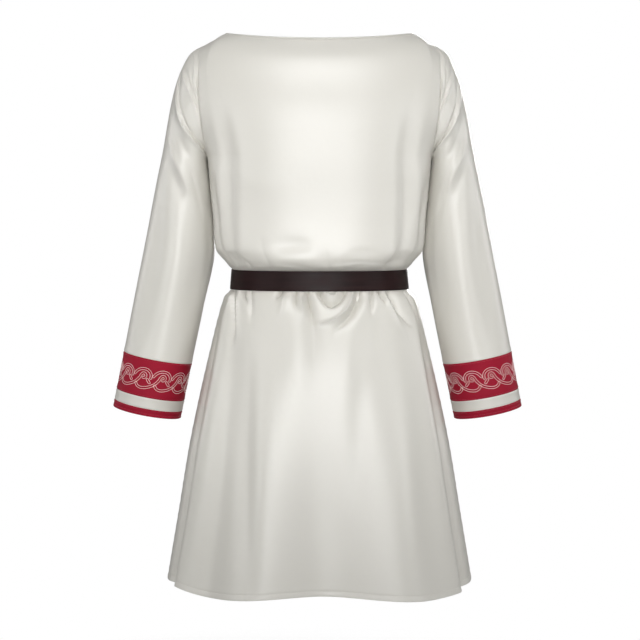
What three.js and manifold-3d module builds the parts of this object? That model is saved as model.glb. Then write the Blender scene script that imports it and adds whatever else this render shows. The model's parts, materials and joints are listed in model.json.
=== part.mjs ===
// A satin tunic robe with a boat neck, long sleeves, pieced red and white cuffs and a leather belt.
// It is filled out as if worn, with nobody inside. Millimetres, +Z up, +X to the wearer's right and
// +Y out of the wearer's chest, so the plain back faces -Y. The origin is midway between the two
// points where the neckline rests on the shoulders.
import * as THREE from "three";
import Module from "manifold-3d";

const wasm = await Module();
wasm.setup();

// Driving sizes.
const WALL = 1.6;
const HALF_SEAM_GAP = 0.15;
const NECK_HALF = 159;
const NECK_DROP_BACK = 16;
const NECK_DROP_FRONT = 62;
const NECK_DEPTH_BACK = 72;
const NECK_DEPTH_FRONT = 78;
const NECK_SHARE = 0.72;
const NECK_BAND_WIDTH = 5;
const NECK_BAND_REACH = 0.88 * NECK_BAND_WIDTH;
const NECK_BAND_DROP = 0.47 * NECK_BAND_WIDTH;
const NECK_BAND_THICK = 2.2;
const NECK_SEAM_GAP = 0.7;
const NECK_TO_SIDE = 0.84;
const PULL_ACROSS = 8;
const PULL_BACK = 20;
const PULL_UP = 70;
const SHOULDER_DROP = 26;
const UNDERARM_DROP = 214;
const ARMHOLE_HALF_DEPTH = 57;
const SHOULDER_ROUNDING = 42;
const HEM_DROP = 952;
const BELT_TOP_DROP = 407.5;
const BELT_HEIGHT = 34;
const BELT_BOTTOM_DROP = BELT_TOP_DROP + BELT_HEIGHT;
const BELT_THICK = 2.8;
const BAND_LENGTH = 67;
const STRIPE_LENGTH = 19;
const EDGE_LENGTH = 13;

const NECK_COLUMNS = 18;
const SHOULDER_COLUMNS = 5;
const RING_STEPS = 24;

// A table's rows as objects with the named columns.
const table = (names, rows) =>
  rows.map((row) => Object.fromEntries(names.map((name, i) => [name, row[i]])));

// The trunk's cross-sections, from the shoulder seam's outer end down to the hem. half is half the
// width, side_y the side seam, back_y and front_y the middle of each panel, and square the power of
// the rounded outline (2 is an ellipse). Above the underarm, back_drop and front_drop say how low the
// middle of the panel is where its edge is at drop.
const TRUNK = table(
  ["drop", "half", "side_y", "back_y", "front_y", "back_drop", "front_drop", "square"],
  [
    [26, 207.5, 0, -72, 78, 16, 62, 2.3],
    [62, 206, -3, -95, 98, 50, 92, 2.3],
    [100, 205.5, -5, -110, 113, 91, 122, 2.4],
    [138, 203, -7, -118, 123, 132, 151, 2.5],
    [176, 198, -9, -121, 128, 172, 182, 2.6],
    [214, 193, -12, -121, 130, 213, 216, 2.7],
    [242, 189.8, -22, -120, 129, 242, 242, 2.7],
    [281, 186, -30, -118, 127, 281, 281, 2.6],
    [320, 182, -32, -117, 126, 320, 320, 2.6],
    [352, 180.5, -29, -118, 127, 352, 352, 2.6],
    [372, 178.5, -24, -119, 127, 372, 372, 2.6],
    [386, 169, -17, -116, 123, 386, 386, 2.5],
    [397, 158.5, -10, -107, 105, 397, 397, 2.4],
    [401.5, 153, -7, -98.5, 97.1, 401.5, 401.5, 2.3],
    [405, 150.2, -5, -93.2, 97.2, 405, 405, 2.3],
    [409, 150.5, -5, -93.5, 97.5, 409, 409, 2.3],
    [442, 153.2, -5, -96.2, 100.2, 442, 442, 2.3],
    [447.5, 157.5, -4, -100, 100.6, 447.5, 447.5, 2.3],
    [454, 164, -2, -105, 108, 454, 454, 2.3],
    [480, 173.2, 0, -117, 119, 480, 480, 2.3],
    [536, 187.5, 0, -133, 134, 536, 536, 2.3],
    [620, 207.5, 0, -149, 150, 620, 620, 2.4],
    [720, 228.5, 0, -164, 165, 720, 720, 2.5],
    [834, 247.5, 0, -177, 179, 834, 834, 2.5],
    [952, 267, 0, -188, 190, 952, 952, 2.5],
  ],
);

// The sleeve's rings, from the armhole to the wrist. run is the way down the sleeve, outer and inner
// the two ends of the ring's long diameter seen from the back, mid_y and half_y its middle and its
// half depth. The right sleeve hangs nearer to the body, its two ends by near_outer and near_inner.
const SLEEVE = table(
  ["run", "outer_x", "outer_drop", "inner_x", "inner_drop", "mid_y", "half_y", "near_outer", "near_inner"],
  [
    [0, 207.5, 26, 193, 214, -6, 57, 0, 0],
    [18, 223, 36.5, 193.4, 216, -4, 60, 1.9, 0],
    [42, 238, 62, 193.4, 219, -1, 62, 4.5, 0],
    [66, 249, 91, 193, 224, 3, 64, 4.5, 0],
    [90, 256.5, 119, 192, 231, 6, 65, 4.5, 0],
    [114, 262.3, 147, 190.5, 240, 9, 66, 4.5, 0],
    [140, 267.5, 175, 188.6, 252, 12, 66.5, 4.5, 0],
    [168, 273, 204, 186.5, 267, 14, 66.5, 4.5, 0],
    [205, 281.5, 243, 184.2, 292, 16, 66, 4.5, 0],
    [244, 290, 284, 182.6, 322, 17, 65, 4.5, 0.5],
    [296, 301, 340, 182.5, 364, 18, 64, 4.9, 2],
    [408, 324.2, 452, 204.3, 475.5, 20, 62, 5.6, 6],
    [510, 344.6, 552.5, 225.8, 575.3, 22, 61, 6.3, 7],
    [609, 364.5, 649.5, 246.2, 672.5, 24, 60, 7.0, 7],
  ],
);
const BAND_RUN = 510;
const STRIPE_RUN = BAND_RUN + BAND_LENGTH;
const EDGE_RUN = STRIPE_RUN + STRIPE_LENGTH;
const WRIST_RUN = EDGE_RUN + EDGE_LENGTH;

// How far the hem rises above its drop, across each panel from its middle line.
const HEM = [
  { across: -400, back: 2, front: 3 },
  { across: -290, back: 7, front: 4 },
  { across: -236, back: 9, front: 1 },
  { across: -160, back: -1, front: -2 },
  { across: 0, back: 8, front: 6 },
  { across: 160, back: -3, front: -1 },
  { across: 236, back: 2, front: 5 },
  { across: 290, back: 4, front: 6 },
  { across: 400, back: 2, front: 3 },
];

// Folds, placed on the flat cloth: across is measured from a panel's middle line and down is the
// drop. Each runs from its start through its middle to its end, rise is its height at those three
// places (a trough is negative), and left and right are its half widths beside that line, which
// grow to grow times as much at its end.
const BACK_FOLDS = [
  { across: [-172, -184, -226], down: [462, 640, 960], rise: [1, 6, 13], left: 9, right: 24, grow: 1.6 },
  { across: [-198, -214, -262], down: [500, 660, 960], rise: [-1, -5, -9], left: 12, right: 9, grow: 1.5 },
  { across: [172, 180, 216], down: [500, 650, 960], rise: [2, 7, 14], left: 26, right: 9, grow: 1.6 },
  { across: [196, 210, 250], down: [520, 670, 960], rise: [-1, -6, -10], left: 9, right: 13, grow: 1.5 },
  { across: [-72, -84, -102], down: [520, 740, 960], rise: [1, 7, 14], left: 26, right: 30, grow: 1.7 },
  { across: [96, 112, 136], down: [540, 750, 960], rise: [1, 8, 17], left: 28, right: 24, grow: 1.7 },
  { across: [8, 10, 14], down: [560, 760, 960], rise: [0, -7, -15], left: 34, right: 34, grow: 1.6 },
  { across: [-136, -146, -166], down: [500, 700, 960], rise: [-2, -6, -7], left: 16, right: 18, grow: 1.5 },
  { across: [2, 14, 34], down: [446, 474, 448], rise: [-7, -6, -7], left: 9, right: 8, grow: 1 },
  { across: [-20, -16, -8], down: [446, 480, 530], rise: [-8, -5, -1], left: 8, right: 8, grow: 1.3 },
  { across: [58, 54, 36], down: [446, 466, 500], rise: [-8, -5, -1], left: 8, right: 8, grow: 1.3 },
  { across: [106, 120, 142], down: [446, 474, 520], rise: [-7, -6, -1], left: 8, right: 9, grow: 1.3 },
  { across: [-132, -126, -122], down: [446, 466, 500], rise: [-6, -4, -1], left: 9, right: 9, grow: 1.3 },
  { across: [-190, -174, -166], down: [250, 300, 366], rise: [-1, -6, -5], left: 20, right: 24, grow: 1 },
  { across: [190, 176, 168], down: [250, 300, 366], rise: [-1, -6, -5], left: 24, right: 20, grow: 1 },
  { across: [-70, -42, -12], down: [384, 392, 386], rise: [5, 6, 4], left: 14, right: 12, grow: 1 },
  { across: [30, 66, 100], down: [384, 391, 384], rise: [4, 6, 4], left: 14, right: 12, grow: 1 },
  { across: [-140, -120, -104], down: [366, 386, 396], rise: [-2, -5, -5], left: 12, right: 12, grow: 1 },
];
const FRONT_FOLDS = [
  { across: [-176, -188, -232], down: [470, 650, 960], rise: [1, 6, 12], left: 12, right: 24, grow: 1.6 },
  { across: [182, 196, 240], down: [500, 660, 960], rise: [1, 6, 12], left: 24, right: 12, grow: 1.6 },
  { across: [-100, -112, -140], down: [500, 720, 960], rise: [0, -7, -13], left: 28, right: 26, grow: 1.6 },
  { across: [-38, -46, -58], down: [500, 740, 960], rise: [1, 7, 14], left: 28, right: 26, grow: 1.6 },
  { across: [28, 34, 44], down: [520, 740, 960], rise: [0, -6, -12], left: 28, right: 28, grow: 1.6 },
  { across: [92, 106, 132], down: [500, 730, 960], rise: [1, 8, 15], left: 26, right: 28, grow: 1.6 },
  { across: [-66, -62, -58], down: [446, 470, 510], rise: [-7, -5, -1], left: 8, right: 9, grow: 1.3 },
  { across: [-118, -126, -136], down: [446, 472, 520], rise: [-7, -5, -1], left: 9, right: 8, grow: 1.3 },
  { across: [54, 62, 74], down: [446, 472, 515], rise: [-7, -5, -1], left: 8, right: 9, grow: 1.3 },
  { across: [118, 124, 134], down: [446, 470, 505], rise: [-6, -4, -1], left: 8, right: 9, grow: 1.3 },
  { across: [-192, -178, -168], down: [250, 304, 366], rise: [-1, -6, -5], left: 20, right: 24, grow: 1 },
  { across: [192, 180, 170], down: [250, 304, 366], rise: [-1, -6, -5], left: 24, right: 20, grow: 1 },
  { across: [-88, -50, -16], down: [384, 392, 386], rise: [4, 6, 4], left: 14, right: 12, grow: 1 },
  { across: [24, 60, 96], down: [386, 392, 384], rise: [4, 6, 4], left: 14, right: 12, grow: 1 },
];
// On a sleeve, across is the angle in degrees from its outer line, round the back, and down its run.
const SLEEVE_FOLDS = [
  { across: [38, 78, 128], down: [40, 92, 134], rise: [-1, -6, -2], left: 15, right: 13, grow: 1.2 },
  { across: [40, 88, 138], down: [104, 160, 214], rise: [1, 5, 2], left: 16, right: 18, grow: 1.2 },
  { across: [118, 132, 140], down: [250, 350, 470], rise: [0, -4, 0], left: 20, right: 20, grow: 1.2 },
  { across: [46, 56, 62], down: [250, 380, 500], rise: [0, -5, -2], left: 20, right: 20, grow: 1.2 },
  { across: [-38, -80, -128], down: [44, 96, 138], rise: [-1, -6, -2], left: 13, right: 15, grow: 1.2 },
  { across: [-46, -92, -138], down: [110, 168, 226], rise: [1, 5, 2], left: 18, right: 16, grow: 1.2 },
  { across: [-60, -84, -110], down: [260, 330, 410], rise: [0, -5, -1], left: 20, right: 20, grow: 1.2 },
];

// Looks.
const SATIN = { color: 0xe6e4db, roughness: 0.42, metalness: 0 };
const RED_CLOTH = { color: 0x9c1830, roughness: 0.5, metalness: 0 };
const LEATHER = { color: 0x33201f, roughness: 0.4, metalness: 0 };
const OLD_BRASS = { color: 0x8a6f3c, roughness: 0.35, metalness: 1 };

function smooth(low, high, value) {
  const t = THREE.MathUtils.clamp((value - low) / (high - low), 0, 1);
  return t * t * (3 - 2 * t);
}

const point = (x, y, z) => new THREE.Vector3(x, y, z);

// A monotone cubic through one column of a table, read at a value of another column.
function column(rows, key, by) {
  const at = rows.map((row) => row[by]);
  const value = rows.map((row) => row[key]);
  const slope = at.slice(1).map((x, i) => (value[i + 1] - value[i]) / (x - at[i]));
  const tangent = value.map((_, i) => {
    if (i === 0) return slope[0];
    if (i === slope.length) return slope[i - 1];
    const [before, after] = [slope[i - 1], slope[i]];
    return before * after <= 0 ? 0 : (2 * before * after) / (before + after);
  });
  return (x) => {
    const i = Math.min(slope.length - 1, Math.max(0, at.findIndex((limit) => limit > x) - 1));
    const last = x >= at[at.length - 1] ? slope.length - 1 : i;
    const span = at[last + 1] - at[last];
    const t = (x - at[last]) / span;
    return (
      value[last] * (1 + 2 * t) * (1 - t) ** 2 +
      tangent[last] * span * t * (1 - t) ** 2 +
      value[last + 1] * t * t * (3 - 2 * t) +
      tangent[last + 1] * span * t * t * (t - 1)
    );
  };
}

const columnsOf = (rows, by) =>
  Object.fromEntries(Object.keys(rows[0]).map((key) => [key, column(rows, key, by)]));
const trunk = columnsOf(TRUNK, "drop");
const sleeve = columnsOf(SLEEVE, "run");
const hem = columnsOf(HEM, "across");

// The summed height of a table's folds at one place. Each fold's line is a parabola through its
// three places, and its height falls off as a bell on each side.
const LINE_STEPS = 10;
function bent([start, middle, end], t) {
  return start + (4 * middle - 3 * start - end) * t + (2 * start + 2 * end - 4 * middle) * t * t;
}

function foldHeight(folds, across, down, acrossScale = 1) {
  let height = 0;
  for (const fold of folds) {
    let best = { distance: Infinity };
    for (let i = 0; i < LINE_STEPS; i++) {
      const [t0, t1] = [i / LINE_STEPS, (i + 1) / LINE_STEPS];
      const a0 = bent(fold.across, t0) * acrossScale;
      const d0 = bent(fold.down, t0);
      const stepA = bent(fold.across, t1) * acrossScale - a0;
      const stepD = bent(fold.down, t1) - d0;
      const along = ((across - a0) * stepA + (down - d0) * stepD) / (stepA ** 2 + stepD ** 2);
      const t = THREE.MathUtils.clamp(along, 0, 1);
      const offA = across - a0 - stepA * t;
      const offD = down - d0 - stepD * t;
      const distance = Math.hypot(offA, offD);
      if (distance < best.distance) {
        best = { distance, share: t0 + t / LINE_STEPS, right: offA * stepD - offD * stepA > 0 };
      }
    }
    const width = (best.right ? fold.right : fold.left) * (1 + (fold.grow - 1) * best.share);
    height += bent(fold.rise, best.share) * Math.exp(-((best.distance / width) ** 2));
  }
  return height;
}

// The armhole is an oval from the shoulder to the underarm.
const ARMHOLE_MIDDLE = (SHOULDER_DROP + UNDERARM_DROP) / 2;
const ARMHOLE_HALF = (UNDERARM_DROP - SHOULDER_DROP) / 2;

// How far a panel's edge lies from the side line towards the panel's middle: nothing at the side
// seam, and the armhole's half depth there.
function edgeShare(side, drop) {
  if (drop >= UNDERARM_DROP) return 0;
  const cosine = THREE.MathUtils.clamp((ARMHOLE_MIDDLE - drop) / ARMHOLE_HALF, -1, 1);
  const middleY = side < 0 ? trunk.back_y(drop) : trunk.front_y(drop);
  return (ARMHOLE_HALF_DEPTH * Math.sqrt(1 - cosine * cosine)) / Math.abs(middleY - trunk.side_y(drop));
}

// A panel's grid line u as an angle round the trunk. The lines between the corners of the neck start
// as dense as the neckline needs and even out lower down, and those outside run on to the edge.
function turnOf(side, u, drop) {
  const power = trunk.square(drop);
  const depthAt = (across) => (1 - across ** power) ** (1 / power);
  const edge = edgeShare(side, drop);
  const share = Math.min(1, Math.abs(u) / NECK_SHARE);
  const evened = THREE.MathUtils.lerp(Math.sin((share * Math.PI) / 2), share, smooth(60, 230, drop));
  const across = NECK_TO_SIDE * evened;
  const inner = Math.atan2(across, depthAt(across));
  const outer = Math.atan2(depthAt(edge), edge);
  const beyondNeck = Math.max(0, Math.abs(u) - NECK_SHARE) / (1 - NECK_SHARE);
  return Math.sign(u) * THREE.MathUtils.lerp(inner, outer, beyondNeck);
}

// A panel's bare cross-section: a rounded outline from edge to edge. side is -1 at the back and 1 at
// the front, and u goes from -1 at the left edge to 1 at the right edge.
function sectionPoint(side, u, drop) {
  const power = trunk.square(drop);
  const edge = edgeShare(side, drop);
  const edgeReach = (1 - edge ** power) ** (1 / power);
  const angle = turnOf(side, u, drop);
  const [sine, cosine] = [Math.sin(angle), Math.cos(angle)];
  const reach = (Math.abs(sine) ** power + Math.abs(cosine) ** power) ** (-1 / power);
  const depth = reach * cosine;
  const middleY = side < 0 ? trunk.back_y(drop) : trunk.front_y(drop);
  const middleDrop = side < 0 ? trunk.back_drop(drop) : trunk.front_drop(drop);
  return point(
    (trunk.half(drop) * reach * sine) / edgeReach,
    trunk.side_y(drop) + (middleY - trunk.side_y(drop)) * depth,
    -drop - (middleDrop - drop) * Math.cos((u * Math.PI) / 2),
  );
}

// The top edge of a panel: the neckline, then the shoulder seam out to the armhole.
function topEdge(side, u) {
  const share = Math.abs(u) / NECK_SHARE;
  if (share > 1) {
    const t = (Math.abs(u) - NECK_SHARE) / (1 - NECK_SHARE);
    return point(
      Math.sign(u) * THREE.MathUtils.lerp(NECK_HALF + NECK_BAND_REACH, TRUNK[0].half, t),
      0,
      -THREE.MathUtils.lerp(NECK_BAND_DROP, SHOULDER_DROP, t),
    );
  }
  const angle = (share * Math.PI) / 2;
  const depth = side < 0 ? NECK_DEPTH_BACK : NECK_DEPTH_FRONT;
  const dip = side < 0 ? NECK_DROP_BACK : NECK_DROP_FRONT;
  return point(
    Math.sign(u) * (NECK_HALF + NECK_BAND_REACH) * Math.sin(angle),
    side * depth * Math.cos(angle) ** 0.85,
    -NECK_BAND_DROP - dip * Math.cos(angle) ** 1.5,
  );
}

// The bare panel, with its top pulled to the neckline and the shoulder seam. The pull lasts a
// different way down in width, depth and height.
function barePanel(side, u, drop) {
  const level = Math.max(drop, SHOULDER_DROP);
  const below = level - SHOULDER_DROP;
  const inside = THREE.MathUtils.clamp(u, -1, 1);
  const pull = topEdge(side, inside).sub(sectionPoint(side, inside, SHOULDER_DROP));
  pull.x *= Math.exp(-below / PULL_ACROSS);
  pull.y *= Math.exp(-below / PULL_BACK);
  pull.z *= Math.exp(-((below / PULL_UP) ** 2));
  return sectionPoint(side, u, level).add(pull);
}

function bareNormal(side, u, drop) {
  const [du, dd] = [0.004, 1];
  const acrossStep = barePanel(side, u + du, drop).sub(barePanel(side, u - du, drop));
  const downStep = barePanel(side, u, drop + dd).sub(barePanel(side, u, drop - dd));
  return acrossStep.cross(downStep).multiplyScalar(side).normalize();
}

// The way across a panel's flat cloth from its middle line.
function acrossPanel(side, u, drop) {
  const middleY = side < 0 ? trunk.back_y(drop) : trunk.front_y(drop);
  const quarter = (Math.PI / 2) * Math.hypot(trunk.half(drop), middleY - trunk.side_y(drop)) * Math.SQRT1_2;
  return (turnOf(side, u, drop) / (Math.PI / 2)) * quarter;
}

// Folds fade out at the seams and the neckline, and the belt presses them flat.
function panelFolds(side, u, drop) {
  const seam = smooth(0, 0.1, 1 - Math.abs(u));
  const top = smooth(SHOULDER_DROP, SHOULDER_DROP + 60, drop);
  const clearOfBelt = Math.max(
    smooth(BELT_TOP_DROP - 4, BELT_TOP_DROP - 16, drop),
    smooth(BELT_BOTTOM_DROP + 1, BELT_BOTTOM_DROP + 12, drop),
  );
  const folds = side < 0 ? BACK_FOLDS : FRONT_FOLDS;
  const open = seam * top * clearOfBelt;
  return open > 0 ? open * foldHeight(folds, acrossPanel(side, u, drop), drop) : 0;
}

// The way out of the cloth at a seam that two pieces share, so that their walls don't cross.
function wayOut(side, u, drop) {
  const own = bareNormal(side, u, drop);
  const atEdge = Math.abs(u) > 0.999;
  if (atEdge && drop < UNDERARM_DROP - 0.01) {
    return armholeWayOut(side, drop, bareNormal(side, 1, drop)).multiply(point(Math.sign(u), 1, 1));
  }
  if (atEdge && drop <= UNDERARM_DROP + 0.01) return point(Math.sign(u), 0, 0);
  const atShoulder = drop <= SHOULDER_DROP && Math.abs(u) >= NECK_SHARE - 0.001;
  return atEdge || atShoulder ? own.setY(0).normalize() : own;
}

// Round the armhole, the panel and the sleeve share one direction between their own, except near the
// underarm, where they lie face to face.
function armholeWayOut(side, drop, own) {
  const cosine = THREE.MathUtils.clamp((ARMHOLE_MIDDLE - drop) / ARMHOLE_HALF, -1, 1);
  const angle = -side * Math.acos(cosine);
  const between = bareNormal(side, 1, drop).add(sleeveNormal(-1, angle, 0)).normalize();
  const shared = smooth(-0.85, -0.3, cosine);
  return own.clone().multiplyScalar(1 - shared).addScaledVector(between, shared).normalize();
}

function panelPoint(side, u, drop) {
  const out = bareNormal(side, u, drop);
  const made = barePanel(side, u, drop).addScaledVector(out, panelFolds(side, u, drop));
  const atEdge = Math.abs(u) > 0.999;
  if (atEdge && drop < UNDERARM_DROP) made.x -= Math.sign(u) * HALF_SEAM_GAP;
  if (atEdge && drop >= UNDERARM_DROP - 0.01) made.y += side * HALF_SEAM_GAP;
  if (drop <= SHOULDER_DROP && Math.abs(u) >= NECK_SHARE - 0.001) made.y += side * HALF_SEAM_GAP;
  const lift = side < 0 ? hem.back(acrossPanel(side, u, drop)) : hem.front(acrossPanel(side, u, drop));
  made.z += lift * smooth(HEM_DROP - 150, HEM_DROP, drop);
  return made;
}

// The way out of the shoulder's slope, on the right (1) or the left (-1).
function shoulderOut(hand) {
  const rise = SHOULDER_DROP - NECK_BAND_DROP;
  const run = TRUNK[0].half - NECK_HALF - NECK_BAND_REACH;
  return point(hand * rise, 0, run).normalize();
}

// A closed solid through loops of points. Each loop joins the next, and an open solid is capped at
// both ends across each loop, which runs out along one face and back along the other.
function loft(loops, closed) {
  const count = loops[0].length;
  const positions = loops.flat().flatMap((p) => [p.x, p.y, p.z]);
  const faces = [];
  const quad = (a, b, c, d) => faces.push(a, b, c, a, c, d);
  const rows = closed ? loops.length : loops.length - 1;
  for (let r = 0; r < rows; r++) {
    const [here, next] = [r * count, ((r + 1) % loops.length) * count];
    for (let i = 0; i < count; i++) {
      const j = (i + 1) % count;
      quad(here + i, here + j, next + j, next + i);
    }
  }
  if (!closed) {
    const last = (loops.length - 1) * count;
    for (let i = 0; i < count / 2 - 1; i++) {
      const [a, b, c, d] = [i, i + 1, count - 2 - i, count - 1 - i];
      quad(d, c, b, a);
      quad(last + a, last + b, last + c, last + d);
    }
  }
  return solidGeometry(positions, faces);
}

// Positions and triangles as a geometry whose faces point out.
function solidGeometry(positions, faces) {
  const corner = (i) => point(positions[3 * i], positions[3 * i + 1], positions[3 * i + 2]);
  let volume = 0;
  for (let f = 0; f < faces.length; f += 3) {
    const [a, b, c] = [corner(faces[f]), corner(faces[f + 1]), corner(faces[f + 2])];
    volume += a.dot(b.cross(c));
  }
  if (volume < 0) faces.reverse();
  const geometry = new THREE.BufferGeometry();
  geometry.setAttribute("position", new THREE.Float32BufferAttribute(positions, 3));
  geometry.setIndex(faces);
  return geometry;
}

// Rows of a panel: as dense round the armhole as the sleeve's ring, then down to the hem.
function panelRows() {
  const armhole = Array.from({ length: RING_STEPS / 2 + 1 }, (_, i) => {
    const angle = (2 * Math.PI * i) / RING_STEPS;
    return ARMHOLE_MIDDLE - ARMHOLE_HALF * Math.cos(angle);
  });
  const body = [242, 280, 320, 352, 370, 382, 391, 397, 401.5];
  const waist = [405, 409, 442, 447.5, 452, 459, 470, 490, 516];
  const skirt = [552, 600, 660, 725, 790, 850, 905, HEM_DROP];
  return [...armhole, ...body, ...waist, ...skirt];
}

// Columns of a panel, with one exactly at each corner of the neck.
function panelColumns() {
  const neck = Array.from({ length: NECK_COLUMNS + 1 }, (_, i) => NECK_SHARE * ((2 * i) / NECK_COLUMNS - 1));
  const shoulder = Array.from(
    { length: SHOULDER_COLUMNS },
    (_, i) => NECK_SHARE + ((1 - NECK_SHARE) * (i + 1)) / SHOULDER_COLUMNS,
  );
  return [...shoulder.map((u) => -u).reverse(), ...neck, ...shoulder];
}

function panelGeometry(side) {
  const columns = panelColumns();
  const loops = panelRows().map((drop) => {
    const outer = columns.map((u) => panelPoint(side, u, drop));
    const inner = columns.map((u, i) => outer[i].clone().addScaledVector(wayOut(side, u, drop), -WALL));
    return [...outer, ...inner.reverse()];
  });
  return loft(loops, false);
}

// The neck band stands on the panels' top edge, all round the neckline, as a rounded strip.
function neckBandGeometry() {
  const neckColumns = panelColumns().filter((u) => Math.abs(u) <= NECK_SHARE + 0.001);
  const round = [
    ...neckColumns.map((u) => [-1, u]),
    ...neckColumns.slice(1, -1).reverse().map((u) => [1, u]),
  ];
  const line = round.map(([side, u]) => barePanel(side, u, SHOULDER_DROP));
  const loops = line.map((p, i) => {
    const [side, u] = round[i];
    const before = line[(i + line.length - 1) % line.length];
    const along = line[(i + 1) % line.length].clone().sub(before).normalize();
    const out = bareNormal(side, u, SHOULDER_DROP + 0.5);
    if (Math.abs(u) > NECK_SHARE - 0.001) out.copy(shoulderOut(Math.sign(u)));
    const up = out.clone().cross(along).normalize();
    const half = NECK_BAND_THICK / 2;
    const middle = -WALL / 2;
    const outline = [
      [NECK_SEAM_GAP, half], [NECK_BAND_WIDTH - half, half], [NECK_BAND_WIDTH, 0],
      [NECK_BAND_WIDTH - half, -half], [NECK_SEAM_GAP, -half],
    ];
    return outline.map(([high, thick]) => {
      return p.clone().addScaledVector(up, high).addScaledVector(out, middle + thick);
    });
  });
  return loft(loops, true);
}

// A sleeve's ring at a run, as if on the right arm. angle is 0 at the outer line and 90 degrees at
// the back, and hand is 1 for the right sleeve and -1 for the left.
function bareSleeve(hand, angle, run) {
  const [cosine, sine] = [Math.cos(angle), Math.sin(angle)];
  const near = hand > 0 ? 1 : 0;
  const outerX = sleeve.outer_x(run) - near * sleeve.near_outer(run);
  const innerX = sleeve.inner_x(run) - near * sleeve.near_inner(run);
  const middleX = (outerX + innerX) / 2;
  const middleDrop = (sleeve.outer_drop(run) + sleeve.inner_drop(run)) / 2;
  const ring = point(
    middleX + (outerX - middleX) * cosine,
    sleeve.mid_y(run) - sleeve.half_y(run) * sine,
    -middleDrop - (sleeve.outer_drop(run) - middleDrop) * cosine,
  );
  const drop = ARMHOLE_MIDDLE - ARMHOLE_HALF * cosine;
  const armhole = sectionPoint(sine > 0 ? -1 : 1, 1, drop);
  const start = point(
    (SLEEVE[0].outer_x + SLEEVE[0].inner_x) / 2 + ((SLEEVE[0].outer_x - SLEEVE[0].inner_x) / 2) * cosine,
    SLEEVE[0].mid_y - SLEEVE[0].half_y * sine,
    -drop,
  );
  const held = Math.exp(-((Math.max(run, 0) / SHOULDER_ROUNDING) ** 2));
  return ring.addScaledVector(armhole.sub(start), held);
}

function sleeveNormal(hand, angle, run) {
  const roundStep = bareSleeve(hand, angle + 0.02, run).sub(bareSleeve(hand, angle - 0.02, run));
  const downStep = bareSleeve(hand, angle, run + 1).sub(bareSleeve(hand, angle, Math.max(run - 1, 0)));
  return downStep.cross(roundStep).negate().normalize();
}

function sleeveFolds(angle, run) {
  const open = smooth(0, 14, run) * smooth(BAND_RUN + 40, BAND_RUN - 60, run);
  const turned = THREE.MathUtils.radToDeg(angle > Math.PI ? angle - 2 * Math.PI : angle);
  const scale = 1.08;
  return open > 0 ? open * foldHeight(SLEEVE_FOLDS, turned * scale, run, scale) : 0;
}

// The wall of a stretch of sleeve, mirrored for the left arm (hand is -1).
function sleeveGeometry(hand, runs) {
  const angles = Array.from({ length: RING_STEPS }, (_, i) => (2 * Math.PI * i) / RING_STEPS);
  const ringsAt = (run) => {
    const outer = angles.map((angle) => {
      const made = bareSleeve(hand, angle, run);
      made.addScaledVector(sleeveNormal(hand, angle, run), sleeveFolds(angle, run));
      if (run === 0) made.x += HALF_SEAM_GAP;
      return made;
    });
    const inner = outer.map((p, i) => {
      const own = sleeveNormal(hand, angles[i], run);
      const drop = ARMHOLE_MIDDLE - ARMHOLE_HALF * Math.cos(angles[i]);
      const side = Math.sin(angles[i]) > 0 ? -1 : 1;
      const out = run === 0 ? armholeWayOut(side, drop, own) : own;
      return p.clone().addScaledVector(out, -WALL);
    });
    return { outer, inner };
  };
  const rings = runs.map(ringsAt);
  const loops = [...rings.map((r) => r.outer), ...rings.map((r) => r.inner).reverse()];
  loops.flat().forEach((p) => (p.x *= hand));
  return loft(loops, true);
}

const SLEEVE_RUNS = [0, 9, 20, 34, 50, 68, 88, 110, 134, 160, 190, 225, 262, 300, 345, 392, 440, 480];

// The belt follows the waist. reach is the distance along it from the middle of the front, positive
// towards the wearer's left, and lift the distance out from the cloth.
const WAIST_DROP = (BELT_TOP_DROP + BELT_BOTTOM_DROP) / 2;
const WAIST_STEPS = 720;
const waistLine = Array.from({ length: WAIST_STEPS }, (_, i) => {
  const turn = (4 * i) / WAIST_STEPS;
  const [side, u] = turn < 1 ? [1, -turn] : turn < 3 ? [-1, turn - 2] : [1, 4 - turn];
  return barePanel(side, u, WAIST_DROP);
});
const waistReach = waistLine.reduce(
  (sums, p, i) => [...sums, sums[i] + p.distanceTo(waistLine[(i + 1) % WAIST_STEPS])],
  [0],
);
const WAIST = waistReach[WAIST_STEPS];

function waistPoint(reach, lift, drop) {
  const wrapped = ((reach % WAIST) + WAIST) % WAIST;
  const i = Math.min(WAIST_STEPS - 1, waistReach.findIndex((r) => r > wrapped) - 1);
  const share = (wrapped - waistReach[i]) / (waistReach[i + 1] - waistReach[i]);
  const here = waistLine[i].clone().lerp(waistLine[(i + 1) % WAIST_STEPS], share);
  const along = waistLine[(i + 2) % WAIST_STEPS].clone().sub(waistLine[(i + WAIST_STEPS - 1) % WAIST_STEPS]);
  const out = along.cross(point(0, 0, 1)).setZ(0).normalize();
  if (out.dot(here) < 0) out.negate();
  const lean = (drop - WAIST_DROP) * BELT_FLARE;
  return here.addScaledVector(out, lift + lean).setZ(-drop);
}
const BELT_FLARE = 0.08;

// The strap starts at the buckle, goes once round and passes out over its own start.
const STRAP_LIFT = 0.7;
const BUCKLE_LIFT = 1.7;
const TAIL_LIFT = BUCKLE_LIFT + BELT_THICK + 0.8;
const TAIL_LENGTH = 128;
const HEEL_REACH = 10;
const FRAME_LENGTH = 32;
const FRAME_ROD = 1.8;
const STRAP_START = HEEL_REACH + FRAME_ROD + 0.5;

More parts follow.
